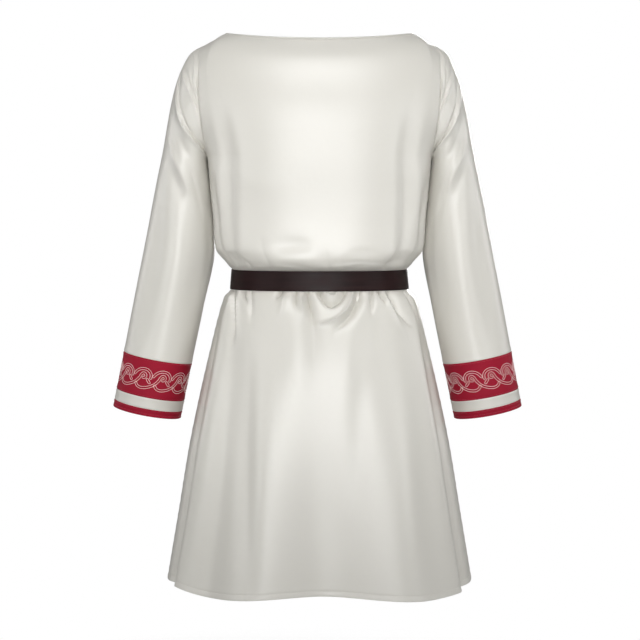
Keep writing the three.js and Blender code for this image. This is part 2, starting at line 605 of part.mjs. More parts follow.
function strapLift(reach) {
  const nearBuckle = Math.min(Math.abs(reach), Math.abs(reach - WAIST));
  const snug = STRAP_LIFT + (BUCKLE_LIFT - STRAP_LIFT) * smooth(120, 60, nearBuckle);
  const climb = smooth(WAIST + HEEL_REACH - FRAME_LENGTH - 26, WAIST + HEEL_REACH - 5, reach);
  const tail = reach > WAIST ? BUCKLE_LIFT : snug;
  return tail + (TAIL_LIFT - BUCKLE_LIFT) * climb;
}

function strapGeometry() {
  const end = WAIST + STRAP_START + TAIL_LENGTH;
  const steps = 92;
  const loops = Array.from({ length: steps + 1 }, (_, i) => {
    const reach = STRAP_START + ((end - STRAP_START) * i) / steps;
    const lift = strapLift(reach);
    const narrowing = Math.max(0, reach - (end - 16)) / 16;
    const inset = (BELT_HEIGHT / 2) * (1 - Math.sqrt(1 - 0.8 * narrowing ** 2));
    const [top, bottom] = [BELT_TOP_DROP + inset, BELT_BOTTOM_DROP - inset];
    return [
      waistPoint(reach, lift, top),
      waistPoint(reach, lift + BELT_THICK, top),
      waistPoint(reach, lift + BELT_THICK, bottom),
      waistPoint(reach, lift, bottom),
    ];
  });
  return loft(loops, false);
}

// A round rod along a list of places on the belt.
function rodGeometry(places, radius, closed) {
  const line = places.map(([reach, lift, drop]) => waistPoint(reach, lift, drop));
  const steps = 10;
  const loops = line.map((p, i) => {
    const before = closed ? line[(i + line.length - 1) % line.length] : line[Math.max(0, i - 1)];
    const after = closed ? line[(i + 1) % line.length] : line[Math.min(line.length - 1, i + 1)];
    const along = after.clone().sub(before).normalize();
    const first = along.clone().cross(point(0.12, 1, 0.05).normalize()).normalize();
    const second = along.clone().cross(first);
    return Array.from({ length: steps }, (_, k) => {
      const angle = (2 * Math.PI * k) / steps;
      return p
        .clone()
        .addScaledVector(first, radius * Math.cos(angle))
        .addScaledVector(second, radius * Math.sin(angle));
    });
  });
  return loft(loops, closed);
}

// The buckle's frame: a heel bar under the strap's tail and a front bar over it.
function frameGeometry() {
  const halfHeight = BELT_HEIGHT / 2 + 0.7 + FRAME_ROD;
  const heelLift = BUCKLE_LIFT + BELT_THICK / 2 - 0.6;
  const frontLift = TAIL_LIFT + BELT_THICK + 0.35 + FRAME_ROD;
  const corner = 4;
  const front = HEEL_REACH - FRAME_LENGTH;
  const outline = [
    [HEEL_REACH, -halfHeight + corner], [HEEL_REACH, 0], [HEEL_REACH, halfHeight - corner],
    [HEEL_REACH - 1.2, halfHeight - 1.2], [HEEL_REACH - corner, halfHeight],
    [(HEEL_REACH + front) / 2, halfHeight], [front + corner, halfHeight],
    [front + 1.2, halfHeight - 1.2], [front, halfHeight - corner], [front, 0],
    [front, -halfHeight + corner], [front + 1.2, -halfHeight + 1.2], [front + corner, -halfHeight],
    [(HEEL_REACH + front) / 2, -halfHeight], [HEEL_REACH - corner, -halfHeight],
    [HEEL_REACH - 1.2, -halfHeight + 1.2],
  ];
  const places = outline.map(([reach, high]) => {
    const share = (HEEL_REACH - reach) / FRAME_LENGTH;
    return [reach, THREE.MathUtils.lerp(heelLift, frontLift, smooth(0, 1, share)), WAIST_DROP - high];
  });
  return rodGeometry(places, FRAME_ROD, true);
}

// The prong lies along the strap and rests on the frame's front bar.
const PRONG_RADIUS = 1.6;
function prongGeometry() {
  const overStrap = TAIL_LIFT + BELT_THICK + 0.4 + PRONG_RADIUS;
  const overBar = TAIL_LIFT + BELT_THICK + 0.35 + 2 * FRAME_ROD + 0.35 + PRONG_RADIUS;
  const front = HEEL_REACH - FRAME_LENGTH;
  const places = [
    [HEEL_REACH - 4.6, overStrap - 4.4, WAIST_DROP],
    [HEEL_REACH - 5.4, overStrap - 2, WAIST_DROP],
    [HEEL_REACH - 7.6, overStrap + 0.4, WAIST_DROP],
    [HEEL_REACH - 15, overStrap + 1.6, WAIST_DROP],
    [front + 6, overBar - 0.6, WAIST_DROP],
    [front, overBar, WAIST_DROP],
    [front - 2.6, overBar - 0.3, WAIST_DROP],
  ];
  return rodGeometry(places, PRONG_RADIUS, false);
}

// The keeper is a leather loop round the strap and its tail.
const KEEPER_REACH = 34;
const KEEPER_WIDTH = 11;
function keeperGeometry() {
  const wall = 1;
  const [low, high] = [BUCKLE_LIFT - 0.3 - wall, TAIL_LIFT + BELT_THICK + 0.35 + wall];
  const [top, bottom] = [BELT_TOP_DROP - 0.5 - wall, BELT_BOTTOM_DROP + 0.5 + wall];
  const loops = [-0.5, 0.5].flatMap((end) => {
    const reach = KEEPER_REACH + end * KEEPER_WIDTH;
    const outside = [[low, top], [high, top], [high, bottom], [low, bottom]];
    const inside = [
      [low + wall, top + wall], [high - wall, top + wall],
      [high - wall, bottom - wall], [low + wall, bottom - wall],
    ];
    const ring = (corners) => corners.map(([lift, drop]) => waistPoint(reach, lift, drop));
    return end < 0 ? [ring(inside), ring(outside)] : [ring(outside), ring(inside)];
  });
  return loft(loops, true);
}

// Booleans: a geometry as a solid, and back.
function toSolid(geometry) {
  const vertProperties = new Float32Array(geometry.attributes.position.array);
  return new wasm.Manifold(
    new wasm.Mesh({ numProp: 3, vertProperties, triVerts: new Uint32Array(geometry.index.array) }),
  );
}

function toGeometry(solid) {
  const mesh = solid.getMesh();
  const geometry = new THREE.BufferGeometry();
  geometry.setAttribute("position", new THREE.Float32BufferAttribute(mesh.vertProperties, 3));
  geometry.setIndex(new THREE.BufferAttribute(mesh.triVerts, 1));
  return geometry;
}

// Punched holes for the prong along the strap's free end. The first is where the prong goes through.
const HOLE_RADIUS = 2.4;
const HOLE_SIDES = 12;
const HOLE_REACHES = [5, 42, 66, 90];

function drillGeometry(reach) {
  const from = waistPoint(reach, TAIL_LIFT - 0.3, WAIST_DROP);
  const to = waistPoint(reach, TAIL_LIFT + BELT_THICK + 3, WAIST_DROP);
  const across = to.clone().sub(from).cross(point(0, 0, 1)).setLength(HOLE_RADIUS);
  const loops = [from, to].map((end) => {
    return Array.from({ length: HOLE_SIDES }, (_, k) => {
      const angle = (2 * Math.PI * k) / HOLE_SIDES;
      const upright = point(0, 0, HOLE_RADIUS * Math.sin(angle));
      return end.clone().addScaledVector(across, Math.cos(angle)).add(upright);
    });
  });
  return loft(loops, false);
}

function punchedStrap() {
  let strap = toSolid(strapGeometry());
  for (const reach of HOLE_REACHES) {
    strap = strap.subtract(toSolid(drillGeometry(reach)));
  }
  return toGeometry(strap);
}

const robe = new THREE.Group();

function add(name, geometry, look) {
  const mesh = new THREE.Mesh(geometry, new THREE.MeshStandardMaterial(look));
  mesh.name = name;
  robe.add(mesh);
}

add("back_panel", panelGeometry(-1), SATIN);
add("front_panel", panelGeometry(1), SATIN);
add("neck_band", neckBandGeometry(), SATIN);
for (const [name, hand] of [["left", -1], ["right", 1]]) {
  const gap = HALF_SEAM_GAP;
  add(`sleeve_${name}`, sleeveGeometry(hand, [...SLEEVE_RUNS, BAND_RUN - gap]), SATIN);
  const bandMiddle = (BAND_RUN + STRIPE_RUN) / 2;
  add(`cuff_band_${name}`, sleeveGeometry(hand, [BAND_RUN + gap, bandMiddle, STRIPE_RUN - gap]), RED_CLOTH);
  add(`cuff_stripe_${name}`, sleeveGeometry(hand, [STRIPE_RUN + gap, EDGE_RUN - gap]), SATIN);
  add(`cuff_edge_${name}`, sleeveGeometry(hand, [EDGE_RUN + gap, WRIST_RUN]), RED_CLOTH);
}
add("belt_strap", punchedStrap(), LEATHER);
add("belt_keeper", keeperGeometry(), LEATHER);
add("buckle_frame", frameGeometry(), OLD_BRASS);
add("buckle_prong", prongGeometry(), OLD_BRASS);

export default robe;
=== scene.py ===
"""A satin tunic robe with a boat neck, long sleeves, red and white cuffs and a leather belt, filled
out as if worn. Lengths in the tables are millimetres. The plain back faces -Y."""
import json
import math

import bmesh
import bpy
import numpy as np
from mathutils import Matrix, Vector


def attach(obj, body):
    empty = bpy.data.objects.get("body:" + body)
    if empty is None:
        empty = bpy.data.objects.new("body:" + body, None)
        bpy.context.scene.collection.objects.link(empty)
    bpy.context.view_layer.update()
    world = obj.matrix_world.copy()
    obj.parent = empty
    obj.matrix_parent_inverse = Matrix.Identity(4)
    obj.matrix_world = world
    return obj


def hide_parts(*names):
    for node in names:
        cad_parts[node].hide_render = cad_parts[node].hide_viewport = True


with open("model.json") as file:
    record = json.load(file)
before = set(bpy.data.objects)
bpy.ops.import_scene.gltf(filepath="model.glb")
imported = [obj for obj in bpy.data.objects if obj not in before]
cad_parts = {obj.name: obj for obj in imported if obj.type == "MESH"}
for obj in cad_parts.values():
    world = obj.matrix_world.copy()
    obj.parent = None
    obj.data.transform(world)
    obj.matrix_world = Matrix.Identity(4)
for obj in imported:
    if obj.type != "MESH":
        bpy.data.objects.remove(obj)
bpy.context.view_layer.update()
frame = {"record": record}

bl_info = {
    "name": "Belted Satin Robe",
    "version": (1, 0, 0),
    "blender": (4, 5, 0),
    "location": "View3D > Sidebar > Robe",
    "description": "Makes a worn satin tunic robe with pieced cuffs and a leather belt",
    "category": "Object",
}

# Driving sizes in millimetres: a drop is below the neck's corners, a run is along a sleeve, a lift is
# out from the cloth and a reach is along the belt. Of a pair, -1 is for the back and 1 for the front.
NECK_HALF = 159.0
NECK_DROP = {-1: 16.0, 1: 62.0}
NECK_DEPTH = {-1: 72.0, 1: 78.0}
NECK_BAND_WIDTH = 5.0
NECK_BAND_THICK = 2.2
NECK_BAND_CLOTH = 0.75
NECK_BAND_REACH = 0.88 * NECK_BAND_WIDTH
NECK_BAND_DROP = 0.47 * NECK_BAND_WIDTH
NECK_SEAM = 0.25
NECK_STITCH_DROP = 3.2
SHOULDER_DROP = 26.0
UNDERARM_DROP = 214.0
ARMHOLE_MIDDLE = (SHOULDER_DROP + UNDERARM_DROP) / 2
ARMHOLE_HALF = (UNDERARM_DROP - SHOULDER_DROP) / 2
ARMHOLE_HALF_DEPTH = 57.0
HEM_DROP = 952.0
HEM_TURNED = 9.0
SEAM_OPENING = 0.08
STITCH_HIGH = 0.28
CUFF_STITCH_IN = 2.6
WRIST_STITCH_IN = 4.4
# The share of a panel's half width that is neckline, and how far round to the side that share goes.
NECK_SHARE = 0.72
NECK_TO_SIDE = 0.84
# How far down a panel the pull of its top edge dies away, and down a sleeve that of the armhole.
PULL_ACROSS = 8.0
PULL_BACK = 20.0
PULL_UP = 70.0
SHOULDER_ROUNDING = 42.0
# The sleeves' names and sides, where the three parts of a cuff start, and where the sleeve ends.
HANDS = (("left", -1), ("right", 1))
BAND_RUN = 510.0
STRIPE_RUN = 577.0
EDGE_RUN = 596.0
WRIST_RUN = 609.0
SLEEVE_STEPS = 144
CLOTH_PER_DEGREE = 1.08
# The belt and its buckle.
BELT_TOP = 407.5
BELT_BOTTOM = 441.5
BELT_THICK = 2.8
BELT_FLARE = 0.08
BELT_HEIGHT = BELT_BOTTOM - BELT_TOP
WAIST_DROP = (BELT_TOP + BELT_BOTTOM) / 2
CLEARANCE = 0.35
STRAP_LIFT = 0.7
BUCKLE_LIFT = 1.7
TAIL_LIFT = BUCKLE_LIFT + BELT_THICK + 0.8
TAIL_TOP = TAIL_LIFT + BELT_THICK
TAIL_LENGTH = 128.0
TAIL_ROUNDED = 16.0
FRAME_LENGTH = 32.0
FRAME_ROD = 1.8
HEEL_REACH = 10.0
FRONT_REACH = HEEL_REACH - FRAME_LENGTH
PRONG_RADIUS = 1.6
STRAP_START = HEEL_REACH + FRAME_ROD + 0.5
KEEPER_REACH = 34.0
KEEPER_WIDTH = 11.0
KEEPER_THICK = 1.2
HOLE_RADIUS = 2.4
HOLE_REACHES = (5.0, 42.0, 66.0, 90.0)
# The interlace: how often it repeats round a cuff, and the ribbon that its lines outline.
REPEATS = 11
REPEAT_LENGTH = 34.5
REPEAT_START = 0.35
RIBBON_HALF = 1.9
CHART_RISE = 4.3
# Each sheet's cut, before it was sewn: its width, length and, where they differ, area, in metres.
BACK_FLAT = (0.70, 0.96, 0.50)
FRONT_FLAT = (0.70, 0.93, 0.49)
# The studio, in metres. Each light has a place, an aim, a width, watts and a spread in degrees.
FLOOR_Z = -1.45
FLOOR_RINGS = (0.02, 0.4, 0.8, 1.2, 1.7)
FLOOR_STEPS = 96
AMBIENT = 0.2
LIGHTS = (
    ("key", (0, -1.9, 0.4), (0, 0, 0.14), 1.9, 3.1, 31),
    ("camera_side", (0, -3, -0.85), (0, 0, -0.9), 1.3, 9.5, 160),
    ("left", (-1.9, -1.9, -0.1), (0, 0, -0.65), 1.2, 5.7, 140),
    ("right", (1.9, -1.9, -0.1), (0, 0, -0.65), 1.2, 6.3, 140),
    ("top", (0, -1.5, 1.2), (0, 0, -0.5), 1, 2, 60),
    ("left_rim", (-2.2, 0.5, 0.1), (0, 0, -0.5), 1.4, 6.5, 160),
    ("right_rim", (2.2, 0.5, 0.1), (0, 0, -0.5), 1.4, 7.5, 160),
    ("front", (0.6, 3, 0.2), (0, 0, -0.5), 1.6, 56, 160),
)
CAMERA_PLACE = (0.001, -2.8, -0.287)
CAMERA_TURN = 90 - 4.289
CAMERA_LENS = 90.25
CAMERA_SENSOR = 36


def table(names, rows):
    """A table's columns by name, each as an array."""
    return {name: np.array([row[i] for row in rows], float) for i, name in enumerate(names.split())}


# The trunk's cross-sections: half the width, the side seam, the middles of the back and front, how
# low they are, and the power of the rounded outline.
TRUNK = table(
    "drop half side_y back_y front_y back_drop front_drop square",
    [
        (26, 207.5, 0, -72, 78, 16, 62, 2.3),
        (62, 206, -3, -95, 98, 50, 92, 2.3),
        (100, 205.5, -5, -110, 113, 91, 122, 2.4),
        (138, 203, -7, -118, 123, 132, 151, 2.5),
        (176, 198, -9, -121, 128, 172, 182, 2.6),
        (214, 193, -12, -121, 130, 213, 216, 2.7),
        (242, 189.8, -22, -120, 129, 242, 242, 2.7),
        (281, 186, -30, -118, 127, 281, 281, 2.6),
        (320, 182, -32, -117, 126, 320, 320, 2.6),
        (352, 180.5, -29, -118, 127, 352, 352, 2.6),
        (372, 178.5, -24, -119, 127, 372, 372, 2.6),
        (386, 169, -17, -118, 124, 386, 386, 2.5),
        (397, 160, -10, -114.5, 113, 397, 397, 2.4),
        (403, 155, -7, -107, 106, 403, 403, 2.3),
        (406.4, 152, -5, -98, 101, 406.4, 406.4, 2.3),
        (408.8, 150.4, -5, -93.4, 97.4, 408.8, 408.8, 2.3),
        (442, 153.2, -5, -96.2, 100.2, 442, 442, 2.3),
        (447.5, 157.5, -4, -100, 100.6, 447.5, 447.5, 2.3),
        (454, 164, -2, -105, 108, 454, 454, 2.3),
        (480, 173.2, 0, -117, 119, 480, 480, 2.3),
        (536, 187.5, 0, -133, 134, 536, 536, 2.3),
        (620, 207.5, 0, -149, 150, 620, 620, 2.4),
        (720, 228.5, 0, -164, 165, 720, 720, 2.5),
        (834, 247.5, 0, -177, 179, 834, 834, 2.5),
        (952, 267, 0, -188, 190, 952, 952, 2.5),
    ],
)

# The sleeve's rings, by the way down the sleeve. The right sleeve hangs nearer to the body.
SLEEVE = table(
    "run outer_x outer_drop inner_x inner_drop mid_y half_y near_outer near_inner",
    [
        (0, 207.5, 26, 193, 214, -6, 57, 0, 0),
        (18, 223, 36.5, 193.4, 216, -4, 60, 1.9, 0),
        (42, 238, 62, 193.4, 219, -1, 62, 4.5, 0),
        (66, 249, 91, 193, 224, 3, 64, 4.5, 0),
        (90, 256.5, 119, 192, 231, 6, 65, 4.5, 0),
        (114, 262.3, 147, 190.5, 240, 9, 66, 4.5, 0),
        (140, 267.5, 175, 188.6, 252, 12, 66.5, 4.5, 0),
        (168, 273, 204, 186.5, 267, 14, 66.5, 4.5, 0),
        (205, 281.5, 243, 184.2, 292, 16, 66, 4.5, 0),
        (244, 290, 284, 182.6, 322, 17, 65, 4.5, 0.5),
        (296, 301, 340, 182.5, 364, 18, 64, 4.9, 2),
        (408, 324.2, 452, 204.3, 475.5, 20, 62, 5.6, 6),
        (510, 344.6, 552.5, 225.8, 575.3, 22, 61, 6.3, 7),
        (609, 364.5, 649.5, 246.2, 672.5, 24, 60, 7.0, 7),
    ],
)

# How far the hem rises across each panel.
HEM = table(
    "across back front",
    [
        (-400, 2, 3),
        (-290, 7, 4),
        (-236, 9, 1),
        (-160, -1, -2),
        (0, 8, 6),
        (160, -3, -1),
        (236, 2, 5),
        (290, 4, 6),
        (400, 2, 3),
    ],
)

# Folds: where each starts, bends and ends, across and down, its height at those places, its half width
# on each side of that line, and how much wider it ends.
FOLD_COLUMNS = "a0 a1 a2 d0 d1 d2 r0 r1 r2 left right grow"
BACK_FOLDS = table(
    FOLD_COLUMNS,
    [
        (-172, -184, -226, 462, 640, 960, 1, 6, 13, 9, 24, 1.6),
        (-198, -214, -262, 500, 660, 960, -1, -5, -9, 12, 9, 1.5),
        (172, 180, 216, 500, 650, 960, 2, 7, 14, 26, 9, 1.6),
        (196, 210, 250, 520, 670, 960, -1, -6, -10, 9, 13, 1.5),
        (-72, -84, -102, 520, 740, 960, 1, 7, 14, 26, 30, 1.7),
        (96, 112, 136, 540, 750, 960, 1, 8, 17, 28, 24, 1.7),
        (8, 10, 14, 560, 760, 960, 0, -7, -15, 34, 34, 1.6),
        (-136, -146, -166, 500, 700, 960, -2, -6, -7, 16, 18, 1.5),
        (-18, -15, -8, 446, 476, 520, -4, -3, -1, 8, 8, 1.3),
        (56, 54, 36, 446, 466, 500, -4, -3, -1, 8, 8, 1.3),
        (106, 120, 142, 446, 474, 520, -3, -3, -1, 8, 9, 1.3),
        (-132, -126, -122, 446, 466, 500, -3, -2, -1, 9, 9, 1.3),
        (-190, -174, -166, 250, 300, 366, -1, -6, -5, 20, 24, 1),
        (190, 176, 168, 250, 300, 366, -1, -6, -5, 24, 20, 1),
        (-70, -42, -12, 382, 386, 384, 2, 3, 2, 14, 12, 1),
        (30, 66, 100, 382, 386, 382, 2, 3, 2, 14, 12, 1),
        (-36, -34, -34, 470, 530, 620, 0.4, 2.8, 0.4, 17, 15, 1.3),
        (48, 46, 44, 480, 530, 620, 0.4, 2.6, 0.3, 15, 15, 1.3),
        (88, 86, 84, 470, 510, 580, -0.6, -2.4, -0.4, 11, 11, 1.3),
        (-126, -124, -127, 130, 270, 392, -1, -6.5, -6, 21, 12, 0.9),
        (117, 117, 119, 130, 270, 392, -1, -6.5, -6, 12, 20, 0.9),
        (-146, -152, -158, 150, 270, 360, 0.2, 2.4, 1.2, 9, 10, 1),
        (140, 147, 154, 150, 270, 360, 0.2, 2.4, 1.2, 10, 9, 1),
        (-168, -164, -160, 60, 130, 230, -0.2, -1.2, -0.2, 14, 12, 1.3),
        (166, 163, 158, 60, 130, 230, -0.2, -1.2, -0.2, 12, 14, 1.3),
        (-110, -70, -36, 250, 262, 250, 0, 1, 0, 18, 16, 1),
        (30, 76, 120, 290, 304, 296, 0, 1, 0, 18, 16, 1),
        (-106, -104, -103, 540, 740, 930, -0.8, -6, -2, 24, 12, 1.1),
        (124, 128, 136, 500, 660, 880, 0.4, 4, 0.8, 22, 20, 1.1),
        (58, 57, 56, 520, 660, 800, -0.4, -2.2, -0.4, 15, 15, 1.1),
        (-158, -163, -172, 520, 680, 860, 0.4, 2.4, 0.4, 16, 16, 1.1),
        (-58, -36, -10, 378, 362, 370, -0.5, -2.4, -0.5, 13, 11, 1),
        (34, 62, 90, 388, 374, 386, -0.5, -2.4, -0.5, 12, 10, 1),
    ],
)
FRONT_FOLDS = table(
    FOLD_COLUMNS,
    [
        (-176, -188, -232, 470, 650, 960, 1, 6, 12, 12, 24, 1.6),
        (182, 196, 240, 500, 660, 960, 1, 6, 12, 24, 12, 1.6),
        (-100, -112, -140, 500, 720, 960, 0, -7, -13, 28, 26, 1.6),
        (-38, -46, -58, 500, 740, 960, 1, 7, 14, 28, 26, 1.6),
        (28, 34, 44, 520, 740, 960, 0, -6, -12, 28, 28, 1.6),
        (92, 106, 132, 500, 730, 960, 1, 8, 15, 26, 28, 1.6),
        (-66, -62, -58, 446, 470, 510, -7, -5, -1, 8, 9, 1.3),
        (-118, -126, -136, 446, 472, 520, -7, -5, -1, 9, 8, 1.3),
        (54, 62, 74, 446, 472, 515, -7, -5, -1, 8, 9, 1.3),
        (118, 124, 134, 446, 470, 505, -6, -4, -1, 8, 9, 1.3),
        (-192, -178, -168, 250, 304, 366, -1, -6, -5, 20, 24, 1),
        (192, 180, 170, 250, 304, 366, -1, -6, -5, 24, 20, 1),
        (-88, -50, -16, 382, 388, 384, 2, 3.4, 2, 15, 13, 1),
        (24, 60, 96, 384, 388, 381, 2, 3.4, 2, 15, 13, 1),
        (-160, -150, -142, 70, 140, 236, -0.2, -1.8, -0.2, 14, 12, 1.3),
        (162, 152, 144, 70, 140, 236, -0.2, -1.8, -0.2, 12, 14, 1.3),
        (-90, -60, -20, 130, 160, 168, 0, 1.2, 0, 16, 14, 1),
        (96, 64, 24, 140, 176, 186, 0, 1.2, 0, 14, 16, 1),
    ],
)
# On a sleeve, across is the angle from its outer line, round the back.
SLEEVE_FOLDS = table(
    FOLD_COLUMNS,
    [
        (30, 66, 110, 92, 122, 130, -1, -4, -1, 16, 18, 1),
        (118, 132, 140, 250, 350, 470, 0, -4, 0, 20, 20, 1.2),
        (46, 56, 62, 250, 380, 500, 0, -5, -2, 20, 20, 1.2),
        (-38, -80, -128, 44, 96, 138, -1, -6, -2, 13, 15, 1.2),
        (-46, -92, -138, 110, 168, 226, 1, 5, 2, 18, 16, 1.2),
        (-60, -84, -110, 260, 330, 410, 0, -5, -1, 20, 20, 1.2),
    ],
)

# The interlace, charted about the middle of a knot: a swag that ends in a curl, the arch over
# the curl, and a short tail beside it.
SWAG = table(
    "x y",
    [
        (-46.5, -15), (-43, -19.6), (-37, -21.8), (-30, -21.2), (-22, -18.6), (-14.5, -14.2), (-9.2, -8.8),
        (-5.8, -3.6), (-4, 1), (-1, 3.9), (2.6, 3.2), (4.3, 0), (3, -3.2), (0, -4),
    ],
)
ARCH = table(
    "x y",
    [(-16.5, 0.5), (-13.6, 5), (-7.8, 9.6), (-0.4, 11.4), (6.6, 10.2), (11.4, 6.4), (13.6, 1.6), (13.4, -3)],
)
TAIL = table("x y", [(8, -6), (10, -8.6), (12.4, -11.2)])

# Gathers and creases, laid out as the folds are. The belt draws the cloth into the short ones above
# and below it, and each sleeve hangs in its own from the shoulder.
BACK_CREASES = table(
    FOLD_COLUMNS,
    [
        (-149, -142, -143, 442, 488, 536, -6.9, -9, -2, 5, 3.3, 1.6),
        (-134, -131, -132, 444, 480, 530, 3.6, 5.4, 0.8, 3.3, 5, 1.6),
        (-121, -117, -112, 441, 450, 461, -7.8, -9.8, -3.6, 2.5, 2.9, 1.4),
        (-104, -103, -104, 442, 466, 496, -5.1, -6.1, -1, 4.2, 5, 1.6),
        (-51, -56, -61, 440, 446, 453, -7.8, -9, -3.2, 2.7, 2.5, 1.4),
        (-50, -52, -57, 448, 460, 480, 2.4, 4.2, 0.8, 3.3, 3.7, 1.5),
        (-33, -33, -33, 440, 452, 467, -7.8, -9, -2.4, 2.5, 2.5, 1.5),
        (-25, -24, -22, 450, 464, 484, 3.2, 4.9, 0.8, 2.9, 2.9, 1.3),
        (-18, -14, -9, 440, 462, 496, -10.9, -11.6, -2.4, 2.3, 2.7, 1.8),
        (-1.5, 17, 36.5, 440, 464, 442, -10.5, -11.6, -9.8, 2.7, 3.9, 1),
        (8, 18, 26, 444, 450, 443, 4.2, 6.1, 4.2, 3.1, 3.1, 1),
        (0, 33, 48, 493, 479, 440, 2.7, 5.8, 3.9, 3.3, 3.3, 1),
        (52, 47, 22, 440, 472, 503, -8.6, -10.5, -3.2, 2.9, 3.7, 1.3),
        (57, 57, 58, 441, 450, 462, -4.9, -5.4, -0.9, 2, 2.2, 1.3),
        (75, 75, 76, 441, 458, 480, -6.9, -7.8, -1.5, 2.9, 3.3, 1.5),
        (84, 91, 98, 440, 448, 459, -8.6, -9.8, -3.2, 2.3, 2.5, 1.3),
        (102, 121, 151, 440, 466, 500, -8.6, -10.9, -4.2, 2.5, 4.2, 1.5),
        (96, 112, 140, 446, 474, 516, 2, 5.4, 0.8, 3.7, 3.3, 1.6),
        (-8, -8, -6, 486, 520, 580, -0.8, -2.6, -0.4, 8, 8, 1.4),
        (-150, -156, -168, 444, 462, 490, 3.6, 4.9, 0.8, 3.3, 4.2, 1.8),
        (150, 164, 184, 442, 460, 486, -4.9, -6.9, -2, 3.3, 3.3, 1.6),
        (-144, -140, -132, 376, 388, 402, -0.4, -2.2, -1.8, 3.4, 4, 1.2),
        (-117, -110, -104, 384, 392, 402, -0.6, -2.6, -2.2, 3, 3.6, 1.2),
        (-52, -34, -14, 395, 397, 403, -0.4, -2, -1, 3, 4.6, 1.2),
        (-118, -96, -76, 402, 396, 398, -1.4, -1.6, -0.3, 3, 4, 1.3),
        (14, 62, 122, 397, 391, 400, -0.5, -2.6, -1, 3.4, 5, 1.2),
        (34, 58, 70, 404, 398, 398, -1.2, -1, -0.3, 2.6, 3, 1.2),
        (30, 58, 84, 370, 366, 372, 0.3, 1.5, 0.3, 8, 7, 1),
        (-76, -74, -70, 350, 376, 402, -0.2, -1.8, -1.8, 7, 6, 0.8),
        (8, 10, 14, 366, 386, 402, -0.1, -1.4, -1.6, 6, 5, 0.8),
        (114, 108, 100, 352, 378, 402, -0.2, -2.2, -2.2, 5, 7, 0.8),
        (-164, -160, -150, 340, 370, 400, -0.2, -2, -2, 6, 5, 0.8),
        (158, 154, 146, 344, 374, 400, -0.2, -2, -2, 5, 6, 0.8),
    ],
)
FRONT_CREASES = table(
    FOLD_COLUMNS,
    [
        (-146, -152, -162, 444, 462, 494, -5.1, -5.6, -0.8, 3.9, 5, 1.8),
        (-128, -134, -140, 444, 468, 520, 3.2, 3.9, 0.3, 5.8, 4.6, 2),
        (-98, -102, -108, 444, 460, 488, -5.6, -5.6, -0.8, 3.5, 4.6, 1.8),
        (-82, -84, -90, 444, 466, 512, 2.9, 3.4, 0.1, 5.8, 5.8, 2),
        (-48, -50, -54, 444, 456, 476, -5.1, -5.1, -0.8, 3.5, 4.6, 1.6),
        (-30, -28, -30, 444, 470, 530, -5.6, -5.1, -0.5, 4.6, 5.8, 2.2),
        (-8, -4, 0, 444, 454, 470, -5.1, -4.4, -0.8, 3.5, 3.9, 1.5),
        (12, 18, 24, 444, 466, 516, 3.4, 3.4, 0.1, 5.8, 5.8, 2.1),
        (36, 38, 42, 444, 462, 500, -6.2, -5.6, -0.8, 3.9, 4.6, 1.8),
        (74, 82, 88, 444, 456, 476, -5.1, -5.6, -1.2, 3.5, 4.6, 1.6),
        (94, 96, 104, 444, 474, 540, 2.9, 3.4, 0.1, 5.8, 5.8, 2.2),
        (112, 118, 128, 444, 458, 484, -5.6, -5.1, -0.8, 3.5, 4.6, 1.7),
        (140, 150, 166, 444, 464, 500, -5.6, -5.6, -1.2, 3.9, 5.2, 1.8),
        (-136, -112, -92, 399, 392, 399, -0.6, -1.8, -0.5, 4, 5.4, 1.2),
        (-38, -12, 20, 401, 398, 403, -0.6, -1.5, -0.6, 3.6, 4.6, 1.2),
        (66, 98, 116, 402, 394, 396, -0.7, -1.8, -0.4, 4, 5.4, 1.2),
        (-120, -116, -110, 356, 380, 402, -0.1, -1.4, -1.6, 6, 5, 0.8),
        (-70, -68, -62, 362, 384, 402, 0.1, 1.2, 1, 6, 5, 0.8),
        (-20, -18, -16, 358, 384, 402, -0.1, -1.6, -1.6, 6, 5, 0.8),
        (38, 36, 32, 366, 384, 402, 0.1, 1.2, 1, 6, 6, 0.8),
        (92, 88, 84, 356, 384, 402, -0.1, -1.6, -1.6, 5, 6, 0.8),
        (146, 142, 136, 356, 384, 402, -0.1, -1.6, -1.4, 5, 6, 0.8),
    ],
)
